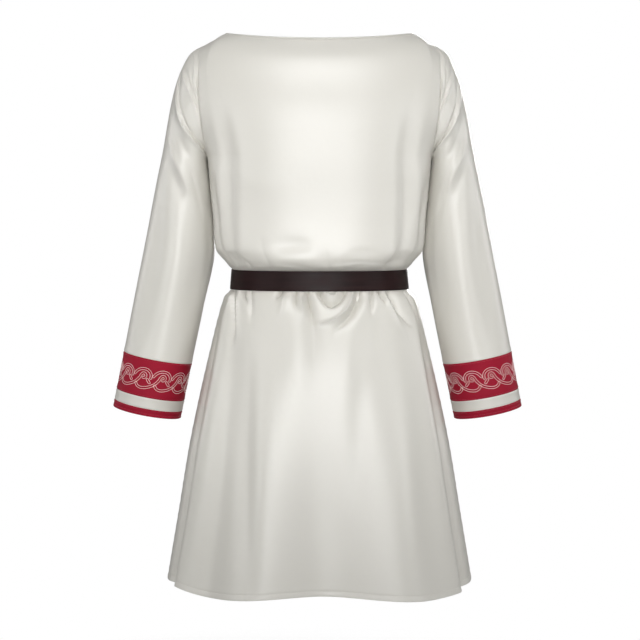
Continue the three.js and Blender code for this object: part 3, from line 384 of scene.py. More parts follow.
LEFT_CREASES = table(
    FOLD_COLUMNS,
    [
        (22, 53, 76, 9, 9, 15, 0.6, 2.2, 0.8, 3, 3, 1.2),
        (50, 68, 90, 15, 18, 6, -1.0, -2.6, -1.2, 3.2, 3, 1),
        (60, 72, 86, 4.5, 4.5, 6, 0.2, 1.2, 0.4, 1.8, 1.8, 1),
        (28, 68, 98, 34, 25, 3, -1.0, -3.2, -1.6, 3.6, 3.6, 1),
        (24, 62, 92, 42, 34, 14, 0.6, 2.4, 1.0, 4, 5, 1),
        (26, 88, 150, 49, 80, 26, -1.4, -4.6, -4.0, 4, 7, 1.4),
        (24, 88, 148, 58, 90, 36, 0.8, 3.2, 2.6, 7, 4, 1.4),
        (52, 92, 132, 66, 74, 44, 0.4, 1.8, 0.6, 5, 6, 1),
        (34, 60, 78, 128, 142, 160, -0.4, -2.2, -0.8, 8, 8, 1),
        (56, 80, 106, 156, 175, 212, 1.0, 4.2, 0.8, 9, 20, 1.1),
        (40, 68, 92, 176, 196, 232, -0.4, -2.4, -0.4, 10, 9, 1.1),
        (96, 116, 132, 150, 196, 262, -0.2, -1.8, -0.2, 7, 6, 1.2),
        (40, 52, 58, 190, 290, 400, -0.1, -2.0, -0.1, 12, 12, 1.2),
        (84, 92, 100, 240, 330, 440, 0.1, 1.4, 0.1, 14, 14, 1.2),
        (140, 150, 156, 230, 300, 400, -0.1, -1.8, -0.1, 8, 8, 1.2),
        (-34, -38, -46, 2, 14, 34, -1.4, -1.6, -0.2, 3, 3, 1.6),
        (-56, -62, -70, 2, 16, 38, -1.4, -1.6, -0.2, 3, 4, 1.6),
        (-40, -80, -124, 52, 104, 140, -0.6, -3.2, -0.8, 5, 6, 1.1),
        (-44, -84, -126, 62, 116, 150, 0.4, 2.2, 0.5, 6, 5, 1.1),
        (-60, -104, -146, 90, 140, 178, -0.4, -2.2, -0.4, 6, 6, 1.1),
        (-70, -92, -118, 200, 270, 350, -0.1, -1.8, -0.2, 9, 9, 1.2),
        (-130, -142, -150, 260, 340, 430, -0.1, -1.4, -0.1, 9, 9, 1.2),
        (176, 168, 160, 26, 52, 84, -1.6, -1.8, -0.2, 4, 5, 1.3),
    ],
)
RIGHT_CREASES = table(
    FOLD_COLUMNS,
    [
        (24, 50, 74, 8, 9, 13, 0.6, 2.2, 0.8, 3, 3, 1.2),
        (48, 66, 90, 15, 19, 6, -1.0, -2.4, -1.2, 3.2, 3, 1),
        (62, 74, 88, 4.5, 4.5, 6, 0.2, 1.2, 0.4, 1.8, 1.8, 1),
        (30, 70, 96, 35, 24, 3, -1.0, -3.0, -1.6, 3.6, 3.6, 1),
        (26, 64, 92, 43, 33, 14, 0.6, 2.4, 1.0, 4, 5, 1),
        (30, 90, 150, 54, 74, 26, -1.4, -4.6, -4.0, 4, 7, 1.4),
        (28, 90, 148, 63, 84, 36, 0.8, 3.4, 2.6, 7, 4, 1.4),
        (54, 94, 132, 60, 68, 42, 0.4, 1.8, 0.6, 5, 6, 1),
        (36, 64, 84, 124, 140, 160, -0.4, -2.2, -0.8, 8, 8, 1),
        (58, 84, 110, 154, 170, 206, 1.0, 4.2, 0.8, 9, 20, 1.1),
        (44, 70, 96, 172, 192, 226, -0.4, -2.4, -0.4, 10, 9, 1.1),
        (92, 112, 130, 156, 204, 270, -0.2, -1.8, -0.2, 7, 6, 1.2),
        (44, 54, 60, 210, 300, 420, -0.1, -2.0, -0.1, 12, 12, 1.2),
        (80, 90, 98, 250, 340, 430, 0.1, 1.4, 0.1, 14, 14, 1.2),
        (138, 148, 154, 240, 320, 410, -0.1, -1.8, -0.1, 8, 8, 1.2),
        (-32, -37, -45, 2, 14, 34, -1.4, -1.6, -0.2, 3, 3, 1.6),
        (-52, -60, -68, 2, 16, 38, -1.4, -1.6, -0.2, 3, 4, 1.6),
        (-42, -84, -128, 56, 108, 146, -0.6, -3.2, -0.8, 5, 6, 1.1),
        (-46, -88, -130, 66, 120, 156, 0.4, 2.2, 0.5, 6, 5, 1.1),
        (-64, -106, -146, 96, 146, 186, -0.4, -2.2, -0.4, 6, 6, 1.1),
        (-66, -90, -114, 210, 280, 360, -0.1, -1.8, -0.2, 9, 9, 1.2),
        (178, 170, 162, 24, 50, 80, -1.6, -1.8, -0.2, 4, 5, 1.3),
    ],
)


def read(rows, key, by, x):
    """A smooth curve through a table's column, read where the column by is x: cubic pieces whose
    slope at a row is the harmonic mean of its neighbours', and nought where the curve turns."""
    at, value = rows[by], rows[key]
    slope = np.diff(value) / np.diff(at)
    level = slope[:-1] * slope[1:] <= 0
    inner = np.where(level, 0, 2 * slope[:-1] * slope[1:] / np.where(level, 1, slope[:-1] + slope[1:]))
    tangent = np.concatenate([slope[:1], inner, slope[-1:]])
    i = np.clip(np.searchsorted(at, x, side="right") - 1, 0, len(slope) - 1)
    span = at[i + 1] - at[i]
    t = (x - at[i]) / span
    ends = value[i] * (1 + 2 * t) * (1 - t) ** 2 + value[i + 1] * t * t * (3 - 2 * t)
    return ends + span * (tangent[i] * t * (1 - t) ** 2 + tangent[i + 1] * t * t * (t - 1))


def ease(low, high, x):
    """Nought at low and one at high, level at both."""
    t = np.clip((x - low) / (high - low), 0, 1)
    return t * t * (3 - 2 * t)


def unit(v):
    """Vectors at length one."""
    return v / np.maximum(np.linalg.norm(v, axis=-1, keepdims=True), 1e-12)


def vectors(x, y, z):
    """Three arrays as one of vectors."""
    return np.stack(np.broadcast_arrays(x, y, z), -1).astype(float)


def reach_along(points):
    """The way along a line to each of its points."""
    return np.concatenate([[0], np.cumsum(np.linalg.norm(np.diff(points, axis=0), axis=-1))])


def steps_round(points):
    """On a closed line, the step from the point before each one to the point after it."""
    return np.roll(points, -1, 0) - np.roll(points, 1, 0)


def armhole_cosine(drop):
    """One at the shoulder point, minus one at the underarm."""
    return np.clip((ARMHOLE_MIDDLE - drop) / ARMHOLE_HALF, -1, 1)


def armhole_drop(cosine):
    """The drop at that place round the armhole."""
    return ARMHOLE_MIDDLE - ARMHOLE_HALF * cosine


def trunk(key, drop):
    """A size of the trunk at a drop."""
    return read(TRUNK, key, "drop", drop)


def trunk_middle(side, drop):
    """How far out a panel's middle line is."""
    return trunk("back_y" if side < 0 else "front_y", drop)


def panel_turn(side, u, drop):
    """A panel's grid line as an angle round the trunk, and how far in its edge is: dense at the
    corners of the neck near the top, even below, and the outer lines run on to the edge."""
    power = trunk("square", drop)
    deep = np.abs(trunk_middle(side, drop) - trunk("side_y", drop))
    armhole_half = ARMHOLE_HALF_DEPTH * np.sqrt(1 - armhole_cosine(drop) ** 2)
    edge = np.where(drop < UNDERARM_DROP, armhole_half / deep, 0)
    share = np.minimum(1, np.abs(u) / NECK_SHARE)
    dense = np.sin(share * math.pi / 2)
    across = NECK_TO_SIDE * (dense + (share - dense) * ease(60, 230, drop))
    inner = np.arctan2(across, (1 - across**power) ** (1 / power))
    outer = np.arctan2((1 - edge**power) ** (1 / power), edge)
    beyond = np.maximum(0, np.abs(u) - NECK_SHARE) / (1 - NECK_SHARE)
    return np.sign(u) * (inner + (outer - inner) * beyond), edge


def trunk_section(side, u, drop):
    """A rounded outline |x|^n + |y|^n = 1 from edge to edge of a panel, stretched to its sizes."""
    power = trunk("square", drop)
    angle, edge = panel_turn(side, u, drop)
    sine, cosine = np.sin(angle), np.cos(angle)
    reach = (np.abs(sine) ** power + np.abs(cosine) ** power) ** (-1 / power)
    low = trunk("back_drop" if side < 0 else "front_drop", drop)
    side_y = trunk("side_y", drop)
    half = trunk("half", drop) / (1 - edge**power) ** (1 / power)
    return vectors(
        half * reach * sine,
        side_y + (trunk_middle(side, drop) - side_y) * reach * cosine,
        -drop - (low - drop) * np.cos(u * math.pi / 2),
    )


def top_edge(side, u):
    """The neckline, then the shoulder seam out to the armhole."""
    share = np.abs(u) / NECK_SHARE
    angle = np.minimum(share, 1) * math.pi / 2
    t = np.maximum(0, np.abs(u) - NECK_SHARE) / (1 - NECK_SHARE)
    corner = NECK_HALF + NECK_BAND_REACH
    cosine = np.maximum(np.cos(angle), 0)
    x = np.where(share > 1, corner + (TRUNK["half"][0] - corner) * t, corner * np.sin(angle))
    y = np.where(share > 1, 0, side * NECK_DEPTH[side] * cosine**0.85)
    dip = np.where(share > 1, (SHOULDER_DROP - NECK_BAND_DROP) * t, NECK_DROP[side] * cosine**1.5)
    return vectors(np.sign(u) * x, y, -NECK_BAND_DROP - dip)


def bare_panel(side, u, drop):
    """The trunk's section, pulled up to the top edge by an amount that dies away down the panel."""
    u, drop = np.broadcast_arrays(np.asarray(u, float), np.asarray(drop, float))
    level = np.maximum(drop, SHOULDER_DROP)
    below = level - SHOULDER_DROP
    inside = np.clip(u, -1, 1)
    pull = top_edge(side, inside) - trunk_section(side, inside, np.full_like(level, SHOULDER_DROP))
    held = vectors(
        np.exp(-below / PULL_ACROSS), np.exp(-below / PULL_BACK), np.exp(-((below / PULL_UP) ** 2))
    )
    return trunk_section(side, u, level) + pull * held


def bare_panel_out(side, u, drop):
    """The way out of the bare panel: across its two grid directions."""
    right = bare_panel(side, u + 0.004, drop) - bare_panel(side, u - 0.004, drop)
    down = bare_panel(side, u, drop + 1) - bare_panel(side, u, drop - 1)
    return unit(np.cross(right, down) * side)


def across_panel(side, u, drop):
    """The way across the flat cloth from a panel's middle line: the quarter of an oval, shared out
    by angle."""
    deep = trunk_middle(side, drop) - trunk("side_y", drop)
    quarter = math.pi / 2 * np.hypot(trunk("half", drop), deep) * math.sqrt(0.5)
    return panel_turn(side, u, drop)[0] / (math.pi / 2) * quarter


def fold_height(folds, across, down, scale=1.0, steps=10, power=2.0):
    """The summed height of a table's folds. Each fold's line is a parabola through its three places,
    taken in short straight steps, and its height falls off as exp(-distance**power) on each side."""
    total = np.zeros_like(across)
    share = np.linspace(0, 1, steps + 1)

    def bent(row, letter, t):
        start, middle, end = (folds[f"{letter}{k}"][row] for k in range(3))
        return start + (4 * middle - 3 * start - end) * t + (2 * start + 2 * end - 4 * middle) * t * t

    def beside(places, line, reach):
        return np.abs(places - (line.min() + line.max()) / 2) < np.ptp(line) / 2 + reach

    for row in range(len(folds["left"])):
        left, right, grow = (folds[key][row] for key in ("left", "right", "grow"))
        line_a, line_d = bent(row, "a", share) * scale, bent(row, "d", share)
        widest = max(left, right) * max(1, grow) * 2.6
        near = beside(across, line_a, widest) & beside(down, line_d, widest)
        if not near.any():
            continue
        a, d = across[near], down[near]
        best, at, on_right = np.full(a.shape, np.inf), np.zeros(a.shape), np.zeros(a.shape, bool)
        for k in range(steps):
            step_a, step_d = line_a[k + 1] - line_a[k], line_d[k + 1] - line_d[k]
            t = ((a - line_a[k]) * step_a + (d - line_d[k]) * step_d) / (step_a**2 + step_d**2)
            t = np.clip(t, 0, 1)
            off_a, off_d = a - line_a[k] - step_a * t, d - line_d[k] - step_d * t
            away = np.hypot(off_a, off_d)
            nearer = away < best
            best = np.where(nearer, away, best)
            at = np.where(nearer, (k + t) / steps, at)
            on_right = np.where(nearer, off_a * step_d - off_d * step_a > 0, on_right)
        width = np.where(on_right, right, left) * (1 + (grow - 1) * at)
        total[near] += bent(row, "r", at) * np.exp(-((best / width) ** power))
    return total


def seam_puff(away, reach, height=0.8, rise=1.6):
    """The cloth beside a seam: level at the stitches, and swelling a little next to them."""
    return height * (1 - np.exp(-((away / rise) ** 2))) * np.exp(-((away / reach) ** 2))


def beyond_belt(above, below, drop):
    """One outside the belt and nought under it. Each pair is how far from the belt's edge the rise
    starts and ends."""
    over = ease(BELT_TOP - above[0], BELT_TOP - above[1], drop)
    return np.maximum(over, ease(BELT_BOTTOM + below[0], BELT_BOTTOM + below[1], drop))


def panel_relief(side, u, drop):
    """The folds, creases and gathers of a panel, which fade out at its seams, its neckline and under
    the belt, and the dips where it is sewn."""
    across = across_panel(side, u, drop)
    to_seam = np.abs(across_panel(side, np.sign(u) + (u == 0), drop)) - np.abs(across)
    folds, creases = (BACK_FOLDS, BACK_CREASES) if side < 0 else (FRONT_FOLDS, FRONT_CREASES)
    open_cloth = ease(0, 26, to_seam) * ease(SHOULDER_DROP, SHOULDER_DROP + 60, drop)
    height = open_cloth * beyond_belt((4, 16), (1, 12), drop) * fold_height(folds, across, drop)
    close = beyond_belt((-2, 4), (-3, 3), drop)
    crisp = fold_height(creases, across, drop, steps=8, power=1.3)
    height = height + ease(0, 12, to_seam) * close * crisp
    pucker = 0.4 * np.sin(drop / 2.6 + 1.7 * np.sin(drop / 17))
    height = height + seam_puff(to_seam, 12) * (1 + pucker) * close
    armhole = ease(SHOULDER_DROP + 8, SHOULDER_DROP + 60, drop)
    armhole = armhole * ease(UNDERARM_DROP + 10, UNDERARM_DROP - 60, drop)
    height = height + seam_puff(to_seam, 30, 3.0, 5.0) * armhole
    over_hem = HEM_DROP - drop
    turned_edge = 0.5 * np.exp(-(((over_hem - 2.5) / 2.2) ** 2))
    return height + turned_edge - 0.55 * np.exp(-(((over_hem - HEM_TURNED) / 1.4) ** 2))


def panel_surface(side, u, drop):
    """The bare panel moved out by its relief, with its hem lifted by the hem table."""
    made = bare_panel(side, u, drop) + bare_panel_out(side, u, drop) * panel_relief(side, u, drop)[..., None]
    lift = read(HEM, "back" if side < 0 else "front", "across", across_panel(side, u, drop))
    made[..., 2] += lift * ease(HEM_DROP - 150, HEM_DROP, drop)
    return made


def sleeve_lines(hand, run):
    """Where a ring's outer and inner line are: across and down for each. The right sleeve's are
    nearer to the body."""
    outer_x, outer_drop, inner_x, inner_drop, near_outer, near_inner = (
        read(SLEEVE, key, "run", run)
        for key in ("outer_x", "outer_drop", "inner_x", "inner_drop", "near_outer", "near_inner")
    )
    near = 1 if hand > 0 else 0
    return outer_x - near * near_outer, outer_drop, inner_x - near * near_inner, inner_drop


def bare_sleeve(hand, angle, run):
    """Rings down the arm: each an oval between its outer and inner line, and the first is the
    armhole. The angle is nought at the outer line and a right angle at the back."""
    angle, run = np.broadcast_arrays(np.asarray(angle, float), np.asarray(run, float))
    cosine, sine = np.cos(angle), np.sin(angle)

    def ring(at):
        outer_x, outer_drop, inner_x, inner_drop = sleeve_lines(hand, at)
        return vectors(
            (outer_x + inner_x) / 2 + (outer_x - inner_x) / 2 * cosine,
            read(SLEEVE, "mid_y", "run", at) - read(SLEEVE, "half_y", "run", at) * sine,
            -(outer_drop + inner_drop) / 2 - (outer_drop - inner_drop) / 2 * cosine,
        )

    back, front = (trunk_section(side, np.ones_like(run), armhole_drop(cosine)) for side in (-1, 1))
    armhole = np.where((sine > 0)[..., None], back, front)
    held = np.exp(-((np.maximum(run, 0) / SHOULDER_ROUNDING) ** 2))[..., None]
    return ring(run) + held * (armhole - ring(np.zeros_like(run)))


def bare_sleeve_out(hand, angle, run):
    """The way out of the bare sleeve."""
    around = bare_sleeve(hand, angle + 0.02, run) - bare_sleeve(hand, angle - 0.02, run)
    down = bare_sleeve(hand, angle, run + 1) - bare_sleeve(hand, angle, np.maximum(run - 1, 0))
    return unit(np.cross(around, down))


def sleeve_relief(hand, angle, run):
    """The folds and creases of a sleeve, and the dips at its seams."""
    across = np.degrees((angle + math.pi) % (2 * math.pi) - math.pi) * CLOTH_PER_DEGREE
    folds = fold_height(SLEEVE_FOLDS, across, run, CLOTH_PER_DEGREE)
    creases = fold_height(RIGHT_CREASES if hand > 0 else LEFT_CREASES, across, run, CLOTH_PER_DEGREE, 8)
    height = ease(0, 14, run) * ease(BAND_RUN + 40, BAND_RUN - 60, run) * folds
    height = height + ease(0, 5, run) * ease(BAND_RUN, BAND_RUN - 30, run) * creases
    for seam, reach in ((0.0, 18), (BAND_RUN, 7), (STRIPE_RUN, 6), (EDGE_RUN, 5)):
        height = height + seam_puff(np.abs(run - seam), reach)
    return height + 0.5 * np.exp(-(((run - WRIST_RUN + 2) / 1.8) ** 2))


def sleeve_surface(hand, angle, run):
    """The bare sleeve moved out by its relief, on the right arm (hand 1) or the left (-1)."""
    relief = sleeve_relief(hand, angle, run)[..., None]
    return (bare_sleeve(hand, angle, run) + bare_sleeve_out(hand, angle, run) * relief) * vectors(hand, 1, 1)


# Making meshes.
def facing_out(points, faces):
    """The faces of closed bodies, turned round if the volume that they hold comes out negative."""
    a, b, c, d = (points[faces[:, k]] for k in range(4))
    volume = np.einsum("ij,ij->", a, np.cross(b, c)) + np.einsum("ij,ij->", a, np.cross(c, d))
    return faces if volume > 0 else faces[:, ::-1]


def new_piece(name, points, faces, plan, crisp=40):
    """An object of four-cornered faces, smooth but where they meet at more than crisp degrees. points
    are millimetres, and plan is each point's place on the flat piece in metres, or each face corner's,
    which becomes its UV map."""
    old = bpy.data.objects.get(name)
    if old:
        bpy.data.objects.remove(old)
    turned = facing_out(points, faces)
    mesh = bpy.data.meshes.new(name)
    mesh.from_pydata((points / 1000).tolist(), [], turned.tolist())
    corner_plan = plan[turned.ravel()] if len(plan) == len(points) else plan.reshape(-1, 4, 2)
    if len(plan) != len(points):
        corner_plan = (corner_plan if turned is faces else corner_plan[:, ::-1]).reshape(-1, 2)
    uv = mesh.uv_layers.new(name="Flat")
    uv.data.foreach_set("uv", corner_plan.astype(np.float32).ravel())
    mesh.validate()
    mesh.shade_smooth()
    mesh.set_sharp_from_angle(angle=math.radians(crisp))
    piece = bpy.data.objects.new(name, mesh)
    bpy.context.scene.collection.objects.link(piece)
    return piece


def dress(piece, material, slot, *nodes):
    """The piece gets its material, rides on the body, and stands for its CAD nodes."""
    piece.data.materials.append(material)
    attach(piece, "root")
    if nodes:
        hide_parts(*nodes)
    return piece


def grid_faces(rows, columns, wrap, first=0):
    """Each four neighbours of a grid as one face. The last column meets the first where wrap is
    true."""
    row, column = np.meshgrid(np.arange(rows - 1), np.arange(columns - (0 if wrap else 1)), indexing="ij")
    right = (column + 1) % columns
    corners = ((row, column), (row, right), (row + 1, right), (row + 1, column))
    return first + np.stack([(down * columns + across).ravel() for down, across in corners], -1)


def past_seam(faces, columns):
    """The row and column of each face corner, one past the last column where a face closes a ring."""
    row, column = np.divmod(faces, columns)
    closes = (column.max(-1) - column.min(-1) > 1)[:, None] & (column == 0)
    return row, np.where(closes, columns, column)


def wall(name, outer, inner, across, down, wrap):
    """Thin cloth: the outer grid, the inner grid, and a rim along each open edge. across and down are
    the flat places of the grid, with one more column than the grid where it wraps."""
    rows, columns = outer.shape[:2]
    count = rows * columns
    points = np.concatenate([outer.reshape(-1, 3), inner.reshape(-1, 3)])
    face = grid_faces(rows, columns, wrap)
    index = np.arange(count).reshape(rows, columns)

    def rim(line):
        a, b = line, np.roll(line, -1)
        if not wrap or len(line) != columns:
            a, b = a[:-1], b[:-1]
        return np.stack([b, a, a + count, b + count], -1)

    rims = [rim(index[0]), rim(index[-1][::-1])]
    if not wrap:
        rims += [rim(index[::-1, 0]), rim(index[:, -1])]
    faces = np.concatenate([face, face[:, ::-1] + count, *rims])
    flat = np.stack(np.broadcast_arrays(across, down), -1) / 1000
    if not wrap:
        return new_piece(name, points, faces, np.concatenate([flat.reshape(-1, 2)] * 2))
    return new_piece(name, points, faces, flat[past_seam(faces % count, columns)].reshape(-1, 2))


def tube(name, rings, wrap):
    """A closed body through rings of points. The path closes on itself where wrap is true, and is
    otherwise capped by narrowing its end rings to their middles."""
    if not wrap:
        ends = [np.broadcast_to(rings[k].mean(0), rings[k].shape) for k in (0, -1)]
        rings = np.concatenate([ends[:1], rings, ends[1:]])
    else:
        rings = np.concatenate([rings, rings[:1]])
    count, around = rings.shape[:2]
    along, middle = reach_along(rings.mean(1)), rings[count // 2]
    turn = reach_along(np.concatenate([middle, middle[:1]]))
    faces = grid_faces(count, around, True)
    row, column = past_seam(faces, around)
    plan = np.stack([along[row], turn[column]], -1).reshape(-1, 2) / 1000
    piece = new_piece(name, rings.reshape(-1, 3), faces, plan)
    weld(piece)
    return piece


def weld(piece):
    """Merges points that lie together, as at the tip of a tube."""
    shape = bmesh.new()
    shape.from_mesh(piece.data)
    bmesh.ops.remove_doubles(shape, verts=shape.verts, dist=1e-6)
    shape.to_mesh(piece.data)
    shape.free()


def grid_out(points, wrap):
    """The grid's unit normals: across its neighbours along a row and down a column."""
    across = np.roll(points, -1, 1) - np.roll(points, 1, 1) if wrap else np.gradient(points, axis=1)
    return unit(np.cross(across, np.gradient(points, axis=0)))


# Seams. At a seam both pieces' walls go in along one shared direction.
def armhole_out(side, drop, own):
    """Round the armhole, midway between the panel's and the sleeve's own way out, and the piece's own
    near the underarm."""
    cosine = armhole_cosine(drop)
    sleeve_out = bare_sleeve_out(-1, -side * np.arccos(cosine), np.zeros_like(drop))
    between = unit(bare_panel_out(side, np.ones_like(drop), drop) + sleeve_out)
    shared = ease(-0.85, -0.3, cosine)[..., None]
    return unit(own * (1 - shared) + between * shared)


def even_stretches(ends, counts):
    """Numbers from the first end to the last, in so many even steps between each two ends."""
    stretches = [np.linspace(*ends[k : k + 2], count + 1)[1:] for k, count in enumerate(counts)]
    return np.concatenate([ends[:1], *stretches])


def panel_grids(side, sizes):
    """A panel's columns, rows and its outer and inner grids."""
    half_columns = even_stretches((0, NECK_SHARE, 0.985, 1), (81, 23, 2))
    columns = np.concatenate([-half_columns[:0:-1], half_columns])
    rows = even_stretches((UNDERARM_DROP, 384, 412, 440, 506, 936, HEM_DROP), (36, 14, 3, 33, 54, 10))
    armhole = armhole_drop(np.cos(np.linspace(0, math.pi, SLEEVE_STEPS // 2 + 1)))
    rows = np.concatenate([armhole, rows[1:]])
    u, drop = np.meshgrid(columns, rows)
    outer = panel_surface(side, u, drop)
    out = side * grid_out(outer, False)
    for edge, u_sign in ((0, -1), (-1, 1)):
        own = bare_panel_out(side, np.ones_like(rows), rows)
        shared = armhole_out(side, rows, own)
        below = rows >= UNDERARM_DROP - 0.01
        shared[below] = unit(own[below] * (1, 0, 1))
        out[:, edge] = shared * (u_sign, 1, 1)
    shoulder = np.abs(columns) >= NECK_SHARE - 1e-6
    out[0, shoulder] = unit(out[0, shoulder] * (1, 0, 1))
    inner = outer - out * sizes.cloth_thickness * 1000
    at_side, above = np.abs(u) > 0.9999, drop < UNDERARM_DROP - 0.01
    sewn_ahead = at_side & ~above | (drop <= SHOULDER_DROP) & (np.abs(u) >= NECK_SHARE)
    shift = vectors(
        np.where(at_side & (drop < UNDERARM_DROP), -np.sign(u), 0),
        np.where(sewn_ahead, side, 0),
        0,
    )
    return u, drop, outer + shift * SEAM_OPENING, inner + shift * SEAM_OPENING


def sleeve_grids(hand, runs, sizes):
    """The outer and inner grids of a stretch of sleeve, as rings at its runs."""
    angle, run = np.meshgrid(np.arange(SLEEVE_STEPS) * 2 * math.pi / SLEEVE_STEPS, runs)
    outer = sleeve_surface(hand, angle, run)
    out = hand * grid_out(outer, True)
    if runs[0] == 0:
        ring_angle = angle[0]
        side = np.where(np.sin(ring_angle) > 0, -1, 1)
        drop = armhole_drop(np.cos(ring_angle))
        own = bare_sleeve_out(hand, ring_angle, np.zeros_like(drop))
        back, front = armhole_out(-1, drop, own), armhole_out(1, drop, own)
        out[0] = np.where((side < 0)[:, None], back, front) * (hand, 1, 1)
        outer[0, :, 0] += hand * SEAM_OPENING
    return outer, outer - out * sizes.cloth_thickness * 1000


def sleeve_girth(hand, run):
    """The way round the sleeve at a run: the girth of an oval."""
    outer_x, outer_drop, inner_x, inner_drop = sleeve_lines(hand, run)
    half_long = np.hypot(outer_x - inner_x, outer_drop - inner_drop) / 2
    return math.pi * math.sqrt(2) * np.hypot(half_long, read(SLEEVE, "half_y", "run", run))


def make_sleeve_part(name, hand, runs, sizes):
    """One ring-shaped piece of a sleeve."""
    outer, inner = sleeve_grids(hand, runs, sizes)
    turn = np.linspace(0, 1, SLEEVE_STEPS + 1)[None, :]
    return wall(name, outer, inner, turn * sleeve_girth(hand, runs)[:, None], runs[:, None], True)


# The trims and the belt, as profiles carried along paths.
def smooth_path(points, spacing):
    """A curve through points (Catmull-Rom: the slope at each is half the way between its neighbours),
    read at even spacing."""
    points = np.asarray(points, float)
    padded = np.concatenate([2 * points[:1] - points[1:2], points, 2 * points[-1:] - points[-2:-1]])
    t = np.linspace(0, 1, 25)[:-1, None]
    spans = []
    for k in range(len(points) - 1):
        a, b, c, d = padded[k : k + 4]
        square, cube = 2 * a - 5 * b + 4 * c - d, 3 * b - a - 3 * c + d
        spans.append(b + ((c - a) * t + square * t**2 + cube * t**3) / 2)
    return even_path(np.concatenate([*spans, points[-1:]]), spacing, False)


def even_path(points, spacing, closed):
    """The same line with its points at even spacing."""
    if closed:
        points = np.concatenate([points, points[:1]])
    reach = reach_along(points)
    count = max(2, round(reach[-1] / spacing))
    at = np.linspace(0, reach[-1], count + 1)
    made = np.stack([np.interp(at, reach, points[:, k]) for k in range(points.shape[1])], -1)
    return made[:-1] if closed else made


def neck_columns(count):
    """A panel's places along the neckline, a little denser at its corners."""
    share = np.linspace(-1, 1, count)
    return NECK_SHARE * (0.35 * np.sin(share * math.pi / 2) + 0.65 * share)


def neck_line():
    """The panels' top edge all round the neckline, the way out of the cloth there, averaged with its
    neighbours six times, and the way up."""
    u = neck_columns(161)
    back, front = (bare_panel(side, u, SHOULDER_DROP) for side in (-1, 1))
    back_out, front_out = (bare_panel_out(side, u, SHOULDER_DROP + 0.5) for side in (-1, 1))
    rise, run = SHOULDER_DROP - NECK_BAND_DROP, TRUNK["half"][0] - NECK_HALF - NECK_BAND_REACH
    for out in (back_out, front_out):
        out[0], out[-1] = unit(np.array([-rise, 0, run])), unit(np.array([rise, 0, run]))
    line = np.concatenate([back, front[-2:0:-1]])
    out = np.concatenate([back_out, front_out[-2:0:-1]])
    for _ in range(6):
        out = unit(np.roll(out, 1, 0) + 2 * out + np.roll(out, -1, 0))
    return line, out, unit(np.cross(out, unit(steps_round(line))))


def waist_line():
    """The cloth's outline under the middle of the belt, from the middle of the front towards the
    wearer's left: the reach along it, its points and the way out."""
    turn = np.arange(0, 4, 1 / 300)
    u = np.where(turn < 1, -turn, np.where(turn < 3, turn - 2, 4 - turn))
    front, back = (bare_panel(side, u, WAIST_DROP) for side in (1, -1))
    line = np.where(((turn < 1) | (turn >= 3))[:, None], front, back)
    along = steps_round(line)
    out = unit(vectors(along[:, 1], -along[:, 0], 0))
    out = out if (out[:, :2] * line[:, :2]).sum() > 0 else -out
    line, out = (np.concatenate([a, a[:1]]) for a in (line, out))
    return reach_along(line[:, :2]), line, out


WAIST_REACH, WAIST_POINTS, WAIST_OUT = waist_line()
WAIST = WAIST_REACH[-1]


def on_waist(reach, lift, drop):
    """Places on the belt: so far round the waist, out from the cloth and down."""
    reach, lift, drop = np.broadcast_arrays(*(np.asarray(v, float) for v in (reach, lift, drop)))
    at = np.mod(reach, WAIST)
    columns = (*WAIST_POINTS.T[:2], *WAIST_OUT.T[:2])
    x, y, out_x, out_y = (np.interp(at, WAIST_REACH, column) for column in columns)
    away = lift + (drop - WAIST_DROP) * BELT_FLARE
    long = np.hypot(out_x, out_y)
    return np.stack([x + out_x / long * away, y + out_y / long * away, -drop], -1)


def strap_lift(reach):
    """How far the strap's inner face stands out: snug to the cloth, a little more near the buckle,
    and then up over its own start to lie on it as the free end."""
    near_buckle = np.minimum(np.abs(reach), np.abs(reach - WAIST))
    snug = STRAP_LIFT + (BUCKLE_LIFT - STRAP_LIFT) * ease(120, 60, near_buckle)
    climb = ease(WAIST + FRONT_REACH - 26, WAIST + HEEL_REACH - 5, reach)
    return np.where(reach > WAIST, BUCKLE_LIFT, snug) + (TAIL_LIFT - BUCKLE_LIFT) * climb


def strip_section(half_high, half_thick, corner, across):
    """A flat strip's section, as how high and how far out: a rectangle with rounded corners, and
    points across its two long faces."""
    high, out = half_high - corner, half_thick - corner
    parts = []
    for turn, (up, away) in enumerate(((1, 1), (-1, 1), (-1, -1), (1, -1))):
        angle = np.linspace(0, math.pi / 2, 4) + turn * math.pi / 2
        parts.append(np.stack([up * high + corner * np.cos(angle), away * out + corner * np.sin(angle)], -1))
        if turn % 2 == 0:
            steps = np.linspace(up * high, -up * high, across + 2)[1:-1]
            parts.append(np.stack([steps, np.full_like(steps, away * half_thick)], -1))
    return np.concatenate(parts)


